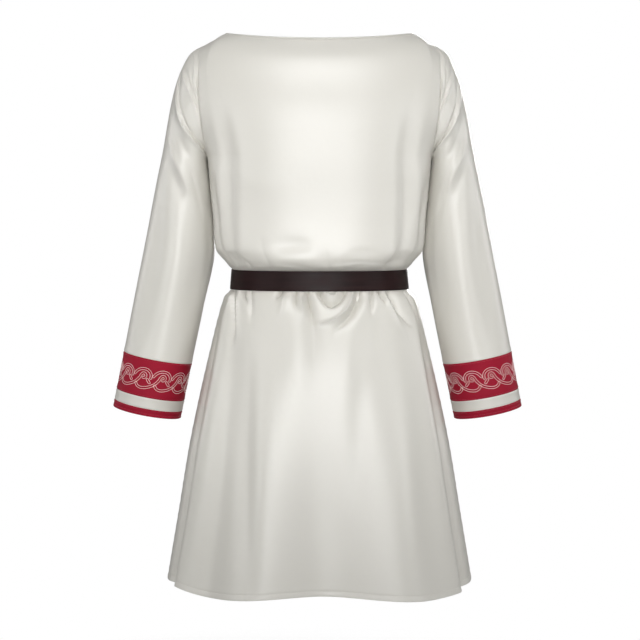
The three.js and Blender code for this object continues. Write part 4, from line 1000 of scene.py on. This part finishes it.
def make_strap():
    """The belt's strap: its section carried once round the waist and out over its own start, with a
    rounded end, and holes punched through the free end."""
    end = WAIST + STRAP_START + TAIL_LENGTH
    straight = end - TAIL_ROUNDED
    rounding = straight + TAIL_ROUNDED * np.sin(np.linspace(0.1, math.pi / 2, 14))
    reach = np.concatenate([np.linspace(STRAP_START, straight, 460), rounding])
    narrowing = np.maximum(0, reach - straight) / TAIL_ROUNDED
    section = strip_section(BELT_HEIGHT / 2, BELT_THICK / 2, 0.7, 9)
    high = section[:, 0] * np.sqrt(1 - 0.86 * narrowing**2)[:, None]
    out = section[:, 1] * (1 - 0.25 * narrowing**6)[:, None]
    lift = strap_lift(reach)[:, None] + BELT_THICK / 2 + out
    strap = tube("belt_leather", on_waist(reach[:, None], lift, WAIST_DROP - high), False)
    turn = np.linspace(0, 2 * math.pi, 20, endpoint=False)
    punch_lift = np.array([TAIL_LIFT - 0.4, TAIL_TOP + 0.6])[:, None]
    for k, hole in enumerate(HOLE_REACHES):
        ring = hole + HOLE_RADIUS * np.cos(turn), punch_lift, WAIST_DROP + HOLE_RADIUS * np.sin(turn)
        punch = tube(f"punch_{k}", on_waist(*ring), False)
        cut = strap.modifiers.new("Hole", "BOOLEAN")
        cut.operation, cut.solver, cut.object = "DIFFERENCE", "EXACT", punch
        bpy.context.view_layer.update()
        punched = bpy.data.meshes.new_from_object(strap.evaluated_get(bpy.context.evaluated_depsgraph_get()))
        strap.modifiers.remove(cut)
        strap.data = punched
        bpy.data.objects.remove(punch)
    strap.data.set_sharp_from_angle(angle=math.radians(40))
    return strap


def make_rod(name, places, radius, closed):
    """A round rod on the belt. places are reach, lift and drop along it, and radius may change along
    it. Each ring stands square across the path."""
    line = on_waist(*places.T)
    along = unit(steps_round(line) if closed else np.gradient(line, axis=0))
    first = unit(np.cross(along, unit(np.array([0.12, 1, 0.05]))))
    second = np.cross(along, first)
    angle = np.linspace(0, 2 * math.pi, 14, endpoint=False)[None, :, None]
    wide = np.broadcast_to(radius, len(line))[:, None, None]
    rings = line[:, None] + wide * (first[:, None] * np.cos(angle) + second[:, None] * np.sin(angle))
    return tube(name, rings, closed)


def make_buckle_frame():
    """The buckle's frame: a rounded rectangle of rod, whose heel bar is under the strap's free end and
    whose front bar is over it."""
    half_high = BELT_HEIGHT / 2 + 2 * CLEARANCE + FRAME_ROD
    outline = even_path(strip_section(FRAME_LENGTH / 2, half_high, 4.5, 9), 1.1, True)
    reach, high = (HEEL_REACH + FRONT_REACH) / 2 + outline[:, 0], outline[:, 1]
    heel_lift, front_lift = BUCKLE_LIFT + BELT_THICK / 2 - 0.6, TAIL_TOP + CLEARANCE + FRAME_ROD
    lift = heel_lift + (front_lift - heel_lift) * ease(0, 1, (HEEL_REACH - reach) / FRAME_LENGTH)
    return make_rod("buckle_brass_frame", np.stack([reach, lift, WAIST_DROP - high], -1), FRAME_ROD, True)


def make_buckle_prong():
    """The prong: a rod that rises through its hole, lies along the strap, thins towards its tip and
    rests on the frame's front bar."""
    over_strap = TAIL_TOP + 0.4 + PRONG_RADIUS
    over_bar = TAIL_TOP + 2 * CLEARANCE + 2 * FRAME_ROD + PRONG_RADIUS
    side_view = [
        (HEEL_REACH - 4.6, over_strap - 4.4),
        (HEEL_REACH - 5.4, over_strap - 2),
        (HEEL_REACH - 7.6, over_strap + 0.4),
        (HEEL_REACH - 15, over_strap + 1.6),
        (FRONT_REACH + 6, over_bar - 0.6),
        (FRONT_REACH, over_bar),
        (FRONT_REACH - 2.6, over_bar - 0.3),
    ]
    places = smooth_path([(*place, WAIST_DROP) for place in side_view], 0.6)
    share = np.linspace(0, 1, len(places))
    rounded = np.sqrt(np.clip(1 - ((share - 0.96) / 0.045) ** 2, 0.05, 1))
    radius = PRONG_RADIUS * (1 - 0.22 * share) * np.where(share > 0.96, rounded, 1)
    return make_rod("buckle_brass_prong", places, radius, False)


def make_keeper():
    """The keeper: a flat loop of leather round the strap and its free end."""
    low, high = BUCKLE_LIFT - CLEARANCE, TAIL_TOP + CLEARANCE
    loop = even_path(strip_section(BELT_HEIGHT / 2 + 0.6, (high - low) / 2, 1.2, 12), 1.6, True)
    along = unit(steps_round(loop))
    out = np.stack([along[:, 1], -along[:, 0]], -1)
    out = out * np.sign((out * loop).sum())
    section = strip_section(KEEPER_WIDTH / 2, KEEPER_THICK / 2, 0.45, 4)
    place = loop[:, None] + out[:, None] * (section[:, 1] + KEEPER_THICK / 2)[None, :, None]
    reach = KEEPER_REACH + section[None, :, 0]
    rings = on_waist(reach, (low + high) / 2 + place[..., 1], WAIST_DROP - place[..., 0])
    return tube("belt_keeper_leather", rings, True)


def folded_section(high, half_thick, cloth):
    """The section of a strip folded over an edge, open at the bottom: down one face from the fold, up
    inside it, down inside the other face and up again, as how high and how far out."""
    arc = np.linspace(0, math.pi, 9)
    arc, top = np.stack([np.sin(arc), np.cos(arc)], -1), np.array([high - half_thick, 0])
    outer, inner = top + half_thick * arc, (top + (half_thick - cloth) * arc)[::-1]
    legs = (
        ((0, half_thick), outer[0]),
        (outer[-1], (0, -half_thick)),
        ((0, cloth - half_thick), inner[0]),
        (inner[-1], (0, half_thick - cloth)),
    )
    leg = np.linspace(0, 1, 4)[:-1, None]
    first, second, third, fourth = (np.array(start) * (1 - leg) + np.array(end) * leg for start, end in legs)
    return np.concatenate([first, outer, second[1:], [legs[1][1]], third, inner, fourth[1:], [legs[3][1]]])


def make_neck_band(sizes):
    """The neck band: a narrow strip folded over the panels' top edge, with the faint pucker of its
    seam."""
    line, out, up = neck_line()
    section = folded_section(NECK_BAND_WIDTH - NECK_SEAM, NECK_BAND_THICK / 2, NECK_BAND_CLOTH)
    reach = reach_along(np.concatenate([line, line[:1]]))[1:, None, None]
    high, thick = section[None, :, :1], section[None, :, 1:]
    pucker = 0.12 * np.sin(reach / 1.9 + 1.4 * np.sin(reach / 23)) * ease(2.4, 0, high)
    away = thick * (1 + pucker) - sizes.cloth_thickness * 500
    rings = line[:, None] + up[:, None] * (NECK_SEAM + high) + out[:, None] * away
    return tube("neck_binding", rings, True)


def sew_stitches(name, middles, along, out, sizes):
    """Stitches, each a small spindle: five-sided rings that close at its two ends and are full between,
    lying along its seam and half sunk into the cloth."""
    place, girth = np.array([-0.5, -0.5, -0.3, 0.3, 0.5, 0.5]), np.array([0, 0.25, 1, 1, 0.25, 0])
    beside = unit(np.cross(out, along))
    turn = np.linspace(0, 2 * math.pi, 5, endpoint=False)
    length, half = sizes.stitch_length * 1000, sizes.stitch_width * 1000 / 2
    rings = (
        middles[:, None, None]
        + along[:, None, None] * (place * length)[None, :, None, None]
        + beside[:, None, None] * (girth[:, None] * np.cos(turn) * half)[None, :, :, None]
        + out[:, None, None] * (girth[:, None] * np.sin(turn) * STITCH_HIGH)[None, :, :, None]
    )
    count, around, sides = rings.shape[:3]
    faces = np.concatenate([grid_faces(around, sides, True, k * around * sides) for k in range(count)])
    plan = np.broadcast_to(np.stack(np.meshgrid(np.arange(sides) / sides, place), -1), (*rings.shape[:3], 2))
    piece = new_piece(name, rings.reshape(-1, 3), faces, plan.reshape(-1, 2), 60)
    weld(piece)
    return piece


def run_of_stitches(line, out, sizes, closed):
    """The middles and ways of stitches along a line, and the cloth's way out there."""
    pitch = sizes.stitch_pitch * 1000
    even = even_path(np.concatenate([line, out], -1), pitch, closed)
    middles, out = even[:, :3], unit(even[:, 3:])
    along = steps_round(middles) if closed else np.gradient(middles, axis=0)
    return middles + out * 0.08, unit(along), out


def ribbon_outline(path, half):
    """The outline of a ribbon: its middle line moved to both sides, with a rounded end at each end."""
    along = unit(np.gradient(path, axis=0))
    beside = np.stack([-along[:, 1], along[:, 0]], -1)
    bend = np.linspace(0, math.pi, 7)[1:-1, None]
    far = path[-1] + half * (beside[-1] * np.cos(bend) + along[-1] * np.sin(bend))
    near = path[0] - half * (beside[0] * np.cos(bend) + along[0] * np.sin(bend))
    return np.concatenate([path + beside * half, far, (path - beside * half)[::-1], near])


def make_interlace(name, hand, sizes):
    """The cuff's running interlace: ribbons drawn as two lines, as fine cords laid on the red cloth.
    Each outline's flat places go onto the sleeve by angle and run, and each cord is half round."""
    half, high = sizes.cord_width * 1000 / 2, sizes.cord_height * 1000
    profile = np.linspace(-0.35, math.pi + 0.35, 6)
    count, points, faces, plans = 0, [], [], []
    for k in range(REPEATS):
        for chart in (SWAG, ARCH, TAIL):
            middle = smooth_path(np.stack([chart["x"], chart["y"]], -1), 1.0)
            loop = even_path(ribbon_outline(middle, RIBBON_HALF), 1.1, True)
            along = unit(steps_round(loop))
            beside = np.stack([-along[:, 1], along[:, 0]], -1)
            flat = loop[:, None] + beside[:, None] * (np.cos(profile) * half)[None, :, None]
            angle = (flat[..., 0] / REPEAT_LENGTH + k + REPEAT_START) * 2 * math.pi / REPEATS
            run = (BAND_RUN + STRIPE_RUN) / 2 - CHART_RISE - flat[..., 1]
            out = bare_sleeve_out(hand, angle, run) * (hand, 1, 1)
            ring = sleeve_surface(hand, angle, run) + out * (np.sin(profile) * high)[None, :, None]
            rows, around = ring.shape[:2]
            closed = grid_faces(rows + 1, around, True) % (rows * around)
            points.append(ring.reshape(-1, 3))
            faces.append(closed + count)
            plans.append((flat / 1000).reshape(-1, 2))
            count += rows * around
    return new_piece(name, np.concatenate(points), np.concatenate(faces), np.concatenate(plans), 70)


# Materials.
class Look:
    """A material being made, with short ways to add nodes and join them."""

    def __init__(self, name, **sockets):
        self.made = bpy.data.materials.new(name)
        self.made.use_nodes = True
        self.nodes, self.links = self.made.node_tree.nodes, self.made.node_tree.links
        self.shader = self.nodes["Principled BSDF"]
        for socket, value in sockets.items():
            self.shader.inputs[socket.replace("_", " ")].default_value = value

    def add(self, kind, settings=(), **inputs):
        """A node with its settings, and its inputs set or joined by name."""
        node = self.nodes.new("ShaderNode" + kind)
        for setting, value in dict(settings).items():
            setattr(node, setting, value)
        for socket, value in inputs.items():
            self.feed(node.inputs[socket.replace("_", " ")], value)
        return node

    def feed(self, socket, value):
        """Joins a node's output to a socket, or sets the socket's value."""
        if isinstance(value, bpy.types.NodeSocket):
            self.links.new(value, socket)
        else:
            socket.default_value = value

    def place(self, stretch=(1, 1, 1), turn=0.0, flat=False):
        """Coordinates in metres, of the object or of the flat cloth, stretched and turned."""
        source = self.add("TexCoord").outputs["UV" if flat else "Object"]
        return self.add("Mapping", Vector=source, Scale=stretch, Rotation=(0, 0, turn)).outputs["Vector"]

    def noise(self, vector, detail=2.0):
        """A cloud of values from nought to one."""
        return self.add("TexNoise", Vector=vector, Scale=1.0, Detail=detail).outputs["Fac"]

    def ribs(self, way, vector, scale, wander):
        """Soft ribs that wander a little."""
        node = self.add("TexWave", {"bands_direction": way}, Vector=vector, Scale=scale, Distortion=wander)
        return node.outputs["Fac"]

    def span(self, value, low, high, start=0.3, end=0.7):
        """The value's stretch from start to end, spread from low to high."""
        node = self.add("MapRange", Value=value)
        for socket, number in (("From Min", start), ("From Max", end), ("To Min", low), ("To Max", high)):
            node.inputs[socket].default_value = number
        return node.outputs["Result"]

    def blend(self, share, first, second):
        """A mix of two colours."""
        node = self.add("Mix", {"data_type": "RGBA"})
        for socket, value in zip((node.inputs[0], node.inputs[6], node.inputs[7]), (share, first, second)):
            self.feed(socket, value)
        return node.outputs[2]

    def tones(self, cloud, colour, first, second, most=1.0):
        """Two tones of a colour, mixed by a cloud of values as far as most."""
        return self.blend(self.span(cloud, 0, most), shaded(colour, first), shaded(colour, second))

    def sum(self, first, second, kind):
        """Arithmetic on two values."""
        node = self.add("Math", {"operation": kind})
        self.feed(node.inputs[0], first)
        self.feed(node.inputs[1], second)
        return node.outputs[0]

    def finish(self, colour, roughness, *relief):
        """The material with its colour, its roughness and layers of relief, each a height, its strength
        and its depth in metres."""
        self.feed(self.shader.inputs["Base Color"], colour)
        self.feed(self.shader.inputs["Roughness"], roughness)
        normal = None
        for height, strength, depth in relief:
            node = self.add("Bump", Height=height, Strength=strength, Distance=depth)
            if normal is not None:
                self.links.new(normal, node.inputs["Normal"])
            normal = node.outputs["Normal"]
        self.links.new(normal, self.shader.inputs["Normal"])
        return self.made


def shaded(colour, times):
    """A colour made lighter or darker."""
    return (*(min(1, channel * times) for channel in colour[:3]), 1)


def satin_look(colours):
    """Satin: long warp floats down the cloth that catch the light, soft unevenness, faint shading."""
    look = Look("Satin", Specular_IOR_Level=0.85)
    cloud = look.noise(look.place((5, 5, 3)), 3)
    floats = look.noise(look.place((2600, 190, 1), flat=True))
    slubs = look.noise(look.place((26, 900, 1), flat=True))
    crinkle = look.noise(look.place((17, 17, 11)), 3)
    fine = look.tones(floats, colours.satin, 0.85, 0.81, 0.5)
    return look.finish(
        look.blend(look.span(cloud, 0, 1), fine, shaded(colours.satin, 0.82)),
        look.span(slubs, 0.32, 0.42),
        (crinkle, 0.22, 0.004), (slubs, 0.06, 0.0003), (floats, 0.1, 0.00015),
    )


def red_look(colours):
    """Red woven cloth: fine diagonal ribs, uneven dye and worn threads, with hardly any shine."""
    look = Look("RedCloth", Specular_IOR_Level=0.12)
    ribs = look.ribs("X", look.place(turn=math.radians(35), flat=True), 320, 1.2)
    cloud = look.noise(look.place((14, 14, 14)), 3)
    threads = look.noise(look.place((1500, 420, 1), flat=True))
    dye = look.tones(cloud, colours.red_cloth, 1.06, 0.9)
    return look.finish(
        look.blend(look.span(threads, 0, 0.35), dye, shaded(colours.red_cloth, 0.7)),
        look.span(threads, 0.5, 0.62),
        (cloud, 0.12, 0.002), (ribs, 0.16, 0.0002), (threads, 0.12, 0.00015),
    )


def thread_look(name, colour):
    """Twisted thread: slanting plies along the cord and a silky shine."""
    look = Look(name, Sheen_Weight=0.2, Specular_IOR_Level=0.5)
    plies = look.ribs("DIAGONAL", look.place(flat=True), 420, 0.6)
    uneven = look.noise(look.place((60, 60, 60)))
    tone = look.tones(uneven, colour, 1.05, 0.86)
    return look.finish(tone, look.span(uneven, 0.42, 0.55), (plies, 0.3, 0.0001))


def leather_look(colours):
    """Smooth dyed leather: pores and fine grain, darker clouds, polish, and paler cut edges."""
    look = Look("Leather", Specular_IOR_Level=0.1, Coat_Weight=0.03, Coat_Roughness=0.3)
    grain = look.add("TexVoronoi", {"feature": "F1"}, Vector=look.place(), Scale=820.0).outputs["Distance"]
    cloud = look.noise(look.place((22, 22, 60)), 4)
    scuffs = look.noise(look.place((8, 8, 240)), 3)
    upright = look.add("SeparateXYZ", Vector=look.add("NewGeometry").outputs["Normal"]).outputs["Z"]
    edge = look.span(look.sum(upright, 0.0, "ABSOLUTE"), 0, 1, 0.55, 0.95)
    hide = look.tones(cloud, colours.leather, 0.35, 0.6)
    worn = look.blend(look.span(scuffs, 0, 0.35, 0.58, 0.75), hide, shaded(colours.leather, 1.1))
    return look.finish(
        look.blend(look.sum(edge, 0.6, "MULTIPLY"), worn, shaded(colours.leather, 2.1)),
        look.span(cloud, 0.34, 0.5),
        (cloud, 0.15, 0.0012), (grain, 0.12, 0.0003),
    )


def brass_look(colours):
    """Old brass: dull brown tarnish and patches rubbed bright, spread as clouds, and fine scratches."""
    look = Look("OldBrass", Metallic=1.0)
    tarnish = look.noise(look.place((90, 90, 90)), 4)
    scratches = look.noise(look.place((30, 30, 900)))
    rubbed = look.span(tarnish, 0, 1, 0.4, 0.62)
    return look.finish(
        look.blend(rubbed, shaded(colours.brass, 0.45), shaded(colours.brass, 1.25)),
        look.span(tarnish, 0.5, 0.26),
        (tarnish, 0.12, 0.0006), (scratches, 0.1, 0.0001),
    )


def get_look(name, make, *values):
    """The material of that name, made the first time that a piece needs it."""
    return bpy.data.materials.get(name) or make(*values)


# Sizes and colours.
def slot_colour(slot):
    """The colour that the record gives a material slot."""
    for material in frame["record"]["materials"]:
        if material["slot"] == slot:
            return tuple(material["base_color"])
    raise ValueError(f"the record has no material slot {slot}")


def colour_property(name, description, default):
    """A colour that the user may change."""
    return bpy.props.FloatVectorProperty(
        name=name, description=description, default=default, size=3, min=0, max=1, subtype="COLOR"
    )


def length_property(name, description, default):
    """A length in metres that the user may change."""
    return bpy.props.FloatProperty(
        name=name, description=description, default=default, min=0, precision=5, unit="LENGTH"
    )


class RobeSizes(bpy.types.PropertyGroup):
    """The robe's small sizes."""

    cloth_thickness: length_property("Cloth", "Thickness of the cloth", 0.0012)
    stitch_length: length_property("Stitch", "Length of one stitch", 0.0022)
    stitch_pitch: length_property("Stitch pitch", "From one stitch to the next", 0.0031)
    stitch_width: length_property("Thread", "Thickness of the sewing thread", 0.0005)
    cord_width: length_property("Cord", "Width of the interlace's lines", 0.0007)
    cord_height: length_property("Cord height", "How far the interlace stands out", 0.00035)


class RobeColours(bpy.types.PropertyGroup):
    """The robe's colours."""

    satin: colour_property("Satin", "The robe's satin", slot_colour("satin"))
    red_cloth: colour_property("Red cloth", "The cuffs' red cloth", slot_colour("red_cloth"))
    interlace: colour_property("Interlace", "The interlace's thread", (0.96, 0.74, 0.72))
    leather: colour_property("Leather", "The belt", slot_colour("leather"))
    brass: colour_property("Brass", "The buckle", slot_colour("brass"))
    floor: colour_property("Floor", "The studio floor", (0.86, 0.86, 0.85))


def settings(context):
    """The scene's sizes and colours."""
    return context.scene.robe_sizes, context.scene.robe_colours


# Operators, one for each group of pieces.
class ROBE_OT_body_panels(bpy.types.Operator):
    """Make the back and the front"""

    bl_idname = "robe.body_panels"
    bl_label = "Back and Front"

    def execute(self, context):
        sizes, colours = settings(context)
        satin = get_look("Satin", satin_look, colours)
        for name, side, flat in (("back", -1, BACK_FLAT), ("front", 1, FRONT_FLAT)):
            u, drop, outer, inner = panel_grids(side, sizes)
            piece = wall(f"{name}_cloth", outer, inner, across_panel(side, u, drop), drop, False)
            dress(piece, satin, "satin", f"{name}_panel")
        return {"FINISHED"}


class ROBE_OT_neck_band(bpy.types.Operator):
    """Make the band that binds the neckline"""

    bl_idname = "robe.neck_band"
    bl_label = "Neck Band"

    def execute(self, context):
        sizes, colours = settings(context)
        band = make_neck_band(sizes)
        dress(band, get_look("Satin", satin_look, colours), "satin", "neck_band")
        return {"FINISHED"}


class ROBE_OT_sleeves(bpy.types.Operator):
    """Make both sleeves, from the armhole to the cuff"""

    bl_idname = "robe.sleeves"
    bl_label = "Sleeves"

    def execute(self, context):
        sizes, colours = settings(context)
        runs = even_stretches((0, 12, 250, BAND_RUN - 8, BAND_RUN - SEAM_OPENING), (8, 81, 65, 8))
        for name, hand in HANDS:
            sleeve = make_sleeve_part(f"sleeve_{name}_cloth", hand, runs, sizes)
            dress(sleeve, get_look("Satin", satin_look, colours), "satin", f"sleeve_{name}")
        return {"FINISHED"}


class ROBE_OT_cuffs(bpy.types.Operator):
    """Make each cuff's red band, white stripe and red edge"""

    bl_idname = "robe.cuffs"
    bl_label = "Cuffs"

    def execute(self, context):
        sizes, colours = settings(context)
        satin, red = get_look("Satin", satin_look, colours), get_look("RedCloth", red_look, colours)
        parts = (
            ("cuff_band", BAND_RUN, STRIPE_RUN, red, "red_cloth"),
            ("cuff_stripe", STRIPE_RUN, EDGE_RUN, satin, "satin"),
            ("cuff_edge", EDGE_RUN, WRIST_RUN, red, "red_cloth"),
        )
        seam = np.array([SEAM_OPENING, 0.6, 1.3, 2.2, 3.4, 5.5])
        for name, hand in HANDS:
            for part, start, end, look, slot in parts:
                runs = np.concatenate([start + seam, np.arange(start + 8, end - 7.5, 4), end - seam[::-1]])
                piece = make_sleeve_part(f"{part}_{name}_cloth", hand, runs, sizes)
                dress(piece, look, slot, f"{part}_{name}")
        return {"FINISHED"}


class ROBE_OT_interlace(bpy.types.Operator):
    """Lay the interlace on both red bands"""

    bl_idname = "robe.interlace"
    bl_label = "Interlace"

    def execute(self, context):
        sizes, colours = settings(context)
        thread = get_look("InterlaceThread", thread_look, "InterlaceThread", colours.interlace)
        for name, hand in HANDS:
            dress(make_interlace(f"interlace_{name}", hand, sizes), thread, "red_cloth")
        return {"FINISHED"}


class ROBE_OT_stitching(bpy.types.Operator):
    """Sew the rows of stitches at the neckline, the hem and the cuffs"""

    bl_idname = "robe.stitching"
    bl_label = "Stitching"

    def execute(self, context):
        sizes, colours = settings(context)
        cloth_thread = get_look("SewingThread", thread_look, "SewingThread", colours.satin)
        red_thread = get_look("RedThread", thread_look, "RedThread", colours.red_cloth)

        def sew(name, rows, look, slot):
            made = [run_of_stitches(line, out, sizes, closed) for line, out, closed in rows]
            middles, along, out = (np.concatenate([row[k] for row in made]) for k in range(3))
            dress(sew_stitches(name, middles, along, out, sizes), look, slot)

        def panel_row(side, u, drop):
            return panel_surface(side, u, drop), bare_panel_out(side, u, drop), False

        def sleeve_row(hand, run):
            at = np.full_like(turn, run)
            return sleeve_surface(hand, turn, at), bare_sleeve_out(hand, turn, at) * (hand, 1, 1), True

        neck_u, hem_u, neck_rows, hem_rows = neck_columns(241), np.linspace(-0.998, 0.998, 400), [], []
        for side in (-1, 1):
            edge = np.full_like(neck_u, SHOULDER_DROP)
            step = panel_surface(side, neck_u, edge + 1) - panel_surface(side, neck_u, edge)
            neck_rows.append(panel_row(side, neck_u, edge + NECK_STITCH_DROP / np.linalg.norm(step, axis=-1)))
            hem_rows.append(panel_row(side, hem_u, np.full_like(hem_u, HEM_DROP - HEM_TURNED)))
        sew("neck_stitches", neck_rows, cloth_thread, "satin")
        sew("hem_stitches", hem_rows, cloth_thread, "satin")
        turn = np.linspace(0, 2 * math.pi, 240, endpoint=False)
        for name, hand in HANDS:
            runs = (
                BAND_RUN + CUFF_STITCH_IN, STRIPE_RUN - CUFF_STITCH_IN,
                EDGE_RUN + CUFF_STITCH_IN, WRIST_RUN - WRIST_STITCH_IN,
            )
            sew(f"cuff_stitches_{name}", [sleeve_row(hand, run) for run in runs], red_thread, "red_cloth")
        return {"FINISHED"}


class ROBE_OT_belt(bpy.types.Operator):
    """Make the leather strap and its keeper"""

    bl_idname = "robe.belt"
    bl_label = "Belt"

    def execute(self, context):
        leather = get_look("Leather", leather_look, settings(context)[1])
        dress(make_strap(), leather, "leather", "belt_strap")
        dress(make_keeper(), leather, "leather", "belt_keeper")
        return {"FINISHED"}


class ROBE_OT_buckle(bpy.types.Operator):
    """Make the brass buckle's frame and prong"""

    bl_idname = "robe.buckle"
    bl_label = "Buckle"

    def execute(self, context):
        brass = get_look("OldBrass", brass_look, settings(context)[1])
        dress(make_buckle_frame(), brass, "brass", "buckle_frame")
        dress(make_buckle_prong(), brass, "brass", "buckle_prong")
        return {"FINISHED"}


def add_light(name, place, target, size, power, spread):
    """A soft round light aimed at a point, which the camera doesn't see."""
    light = bpy.data.lights.new(name, "AREA")
    light.shape, light.size, light.energy, light.spread = "DISK", size, power, math.radians(spread)
    lamp = bpy.data.objects.new(name, light)
    lamp.location = place
    lamp.rotation_euler = (Vector(target) - Vector(place)).to_track_quat("-Z", "Y").to_euler()
    lamp.visible_camera = False
    bpy.context.scene.collection.objects.link(lamp)


def add_floor(colours):
    """A pale disc of rings under the robe, see-through towards its edge."""
    angle = np.linspace(0, 2 * math.pi, FLOOR_STEPS, endpoint=False)
    radius = np.array(FLOOR_RINGS)[:, None]
    disc = vectors(radius * np.cos(angle), radius * np.sin(angle), FLOOR_Z)
    faces = grid_faces(len(radius), FLOOR_STEPS, True)[:, ::-1].tolist()
    mesh = bpy.data.meshes.new("floor")
    mesh.from_pydata(disc.reshape(-1, 3).tolist(), [], [*faces, list(range(FLOOR_STEPS))])
    floor = bpy.data.objects.new("floor", mesh)
    bpy.context.scene.collection.objects.link(floor)
    look = Look("Floor", Roughness=0.8)
    away = look.add("VectorMath", {"operation": "LENGTH"}, Vector=look.place((1, 1, 0))).outputs["Value"]
    grain = look.noise(look.place((30, 30, 30)), 3)
    look.feed(look.shader.inputs["Base Color"], look.tones(grain, colours.floor, 1, 0.98))
    look.feed(look.shader.inputs["Alpha"], look.span(away, 1, 0, 0.6, 1.5))
    mesh.materials.append(look.made)


def add_world(scene):
    """A world that lights the robe faintly, and that the camera sees as white."""
    world = bpy.data.worlds.new("Studio")
    scene.world = world
    world.use_nodes = True
    nodes, links = world.node_tree.nodes, world.node_tree.links
    lit, seen = nodes["Background"], nodes.new("ShaderNodeBackground")
    for background, strength in ((lit, AMBIENT), (seen, 1.0)):
        background.inputs["Color"].default_value = (1, 1, 1, 1)
        background.inputs["Strength"].default_value = strength
    path, mix = nodes.new("ShaderNodeLightPath"), nodes.new("ShaderNodeMixShader")
    links.new(path.outputs["Is Camera Ray"], mix.inputs[0])
    links.new(lit.outputs[0], mix.inputs[1])
    links.new(seen.outputs[0], mix.inputs[2])
    links.new(mix.outputs[0], nodes["World Output"].inputs["Surface"])


class ROBE_OT_studio(bpy.types.Operator):
    """Set the floor, the lights and the camera"""

    bl_idname = "robe.studio"
    bl_label = "Studio"

    def execute(self, context):
        add_floor(settings(context)[1])
        add_world(context.scene)
        for light in LIGHTS:
            add_light(*light)
        context.scene.view_settings.view_transform = "Standard"
        camera = bpy.data.objects.new("camera", bpy.data.cameras.new("camera"))
        camera.data.lens, camera.data.sensor_width = CAMERA_LENS, CAMERA_SENSOR
        camera.location = CAMERA_PLACE
        camera.rotation_euler = (math.radians(CAMERA_TURN), 0, 0)
        context.scene.collection.objects.link(camera)
        context.scene.camera = camera
        return {"FINISHED"}


class ROBE_PT_panel(bpy.types.Panel):
    """The robe's sizes, colours and pieces"""

    bl_label = "Belted Satin Robe"
    bl_space_type = "VIEW_3D"
    bl_region_type = "UI"
    bl_category = "Robe"

    def draw(self, context):
        for group in settings(context):
            for name in group.__annotations__:
                self.layout.prop(group, name)
        for operator in OPERATORS:
            self.layout.operator(operator.bl_idname)


OPERATORS = (
    ROBE_OT_body_panels, ROBE_OT_neck_band, ROBE_OT_sleeves, ROBE_OT_cuffs, ROBE_OT_interlace,
    ROBE_OT_stitching, ROBE_OT_belt, ROBE_OT_buckle, ROBE_OT_studio,
)
CLASSES = (RobeSizes, RobeColours, *OPERATORS, ROBE_PT_panel)


def register():
    """Makes the sizes, colours, operators and the panel known to Blender."""
    for item in CLASSES:
        bpy.utils.register_class(item)
    bpy.types.Scene.robe_sizes = bpy.props.PointerProperty(type=RobeSizes)
    bpy.types.Scene.robe_colours = bpy.props.PointerProperty(type=RobeColours)


def unregister():
    """Takes them out again."""
    del bpy.types.Scene.robe_colours, bpy.types.Scene.robe_sizes
    for item in reversed(CLASSES):
        bpy.utils.unregister_class(item)


def main():
    register()
    bpy.ops.robe.body_panels()
    bpy.ops.robe.neck_band()
    bpy.ops.robe.sleeves()
    bpy.ops.robe.cuffs()
    bpy.ops.robe.interlace()
    bpy.ops.robe.stitching()
    bpy.ops.robe.belt()
    bpy.ops.robe.buckle()
    bpy.ops.robe.studio()


if __name__ == "__main__":
    main()
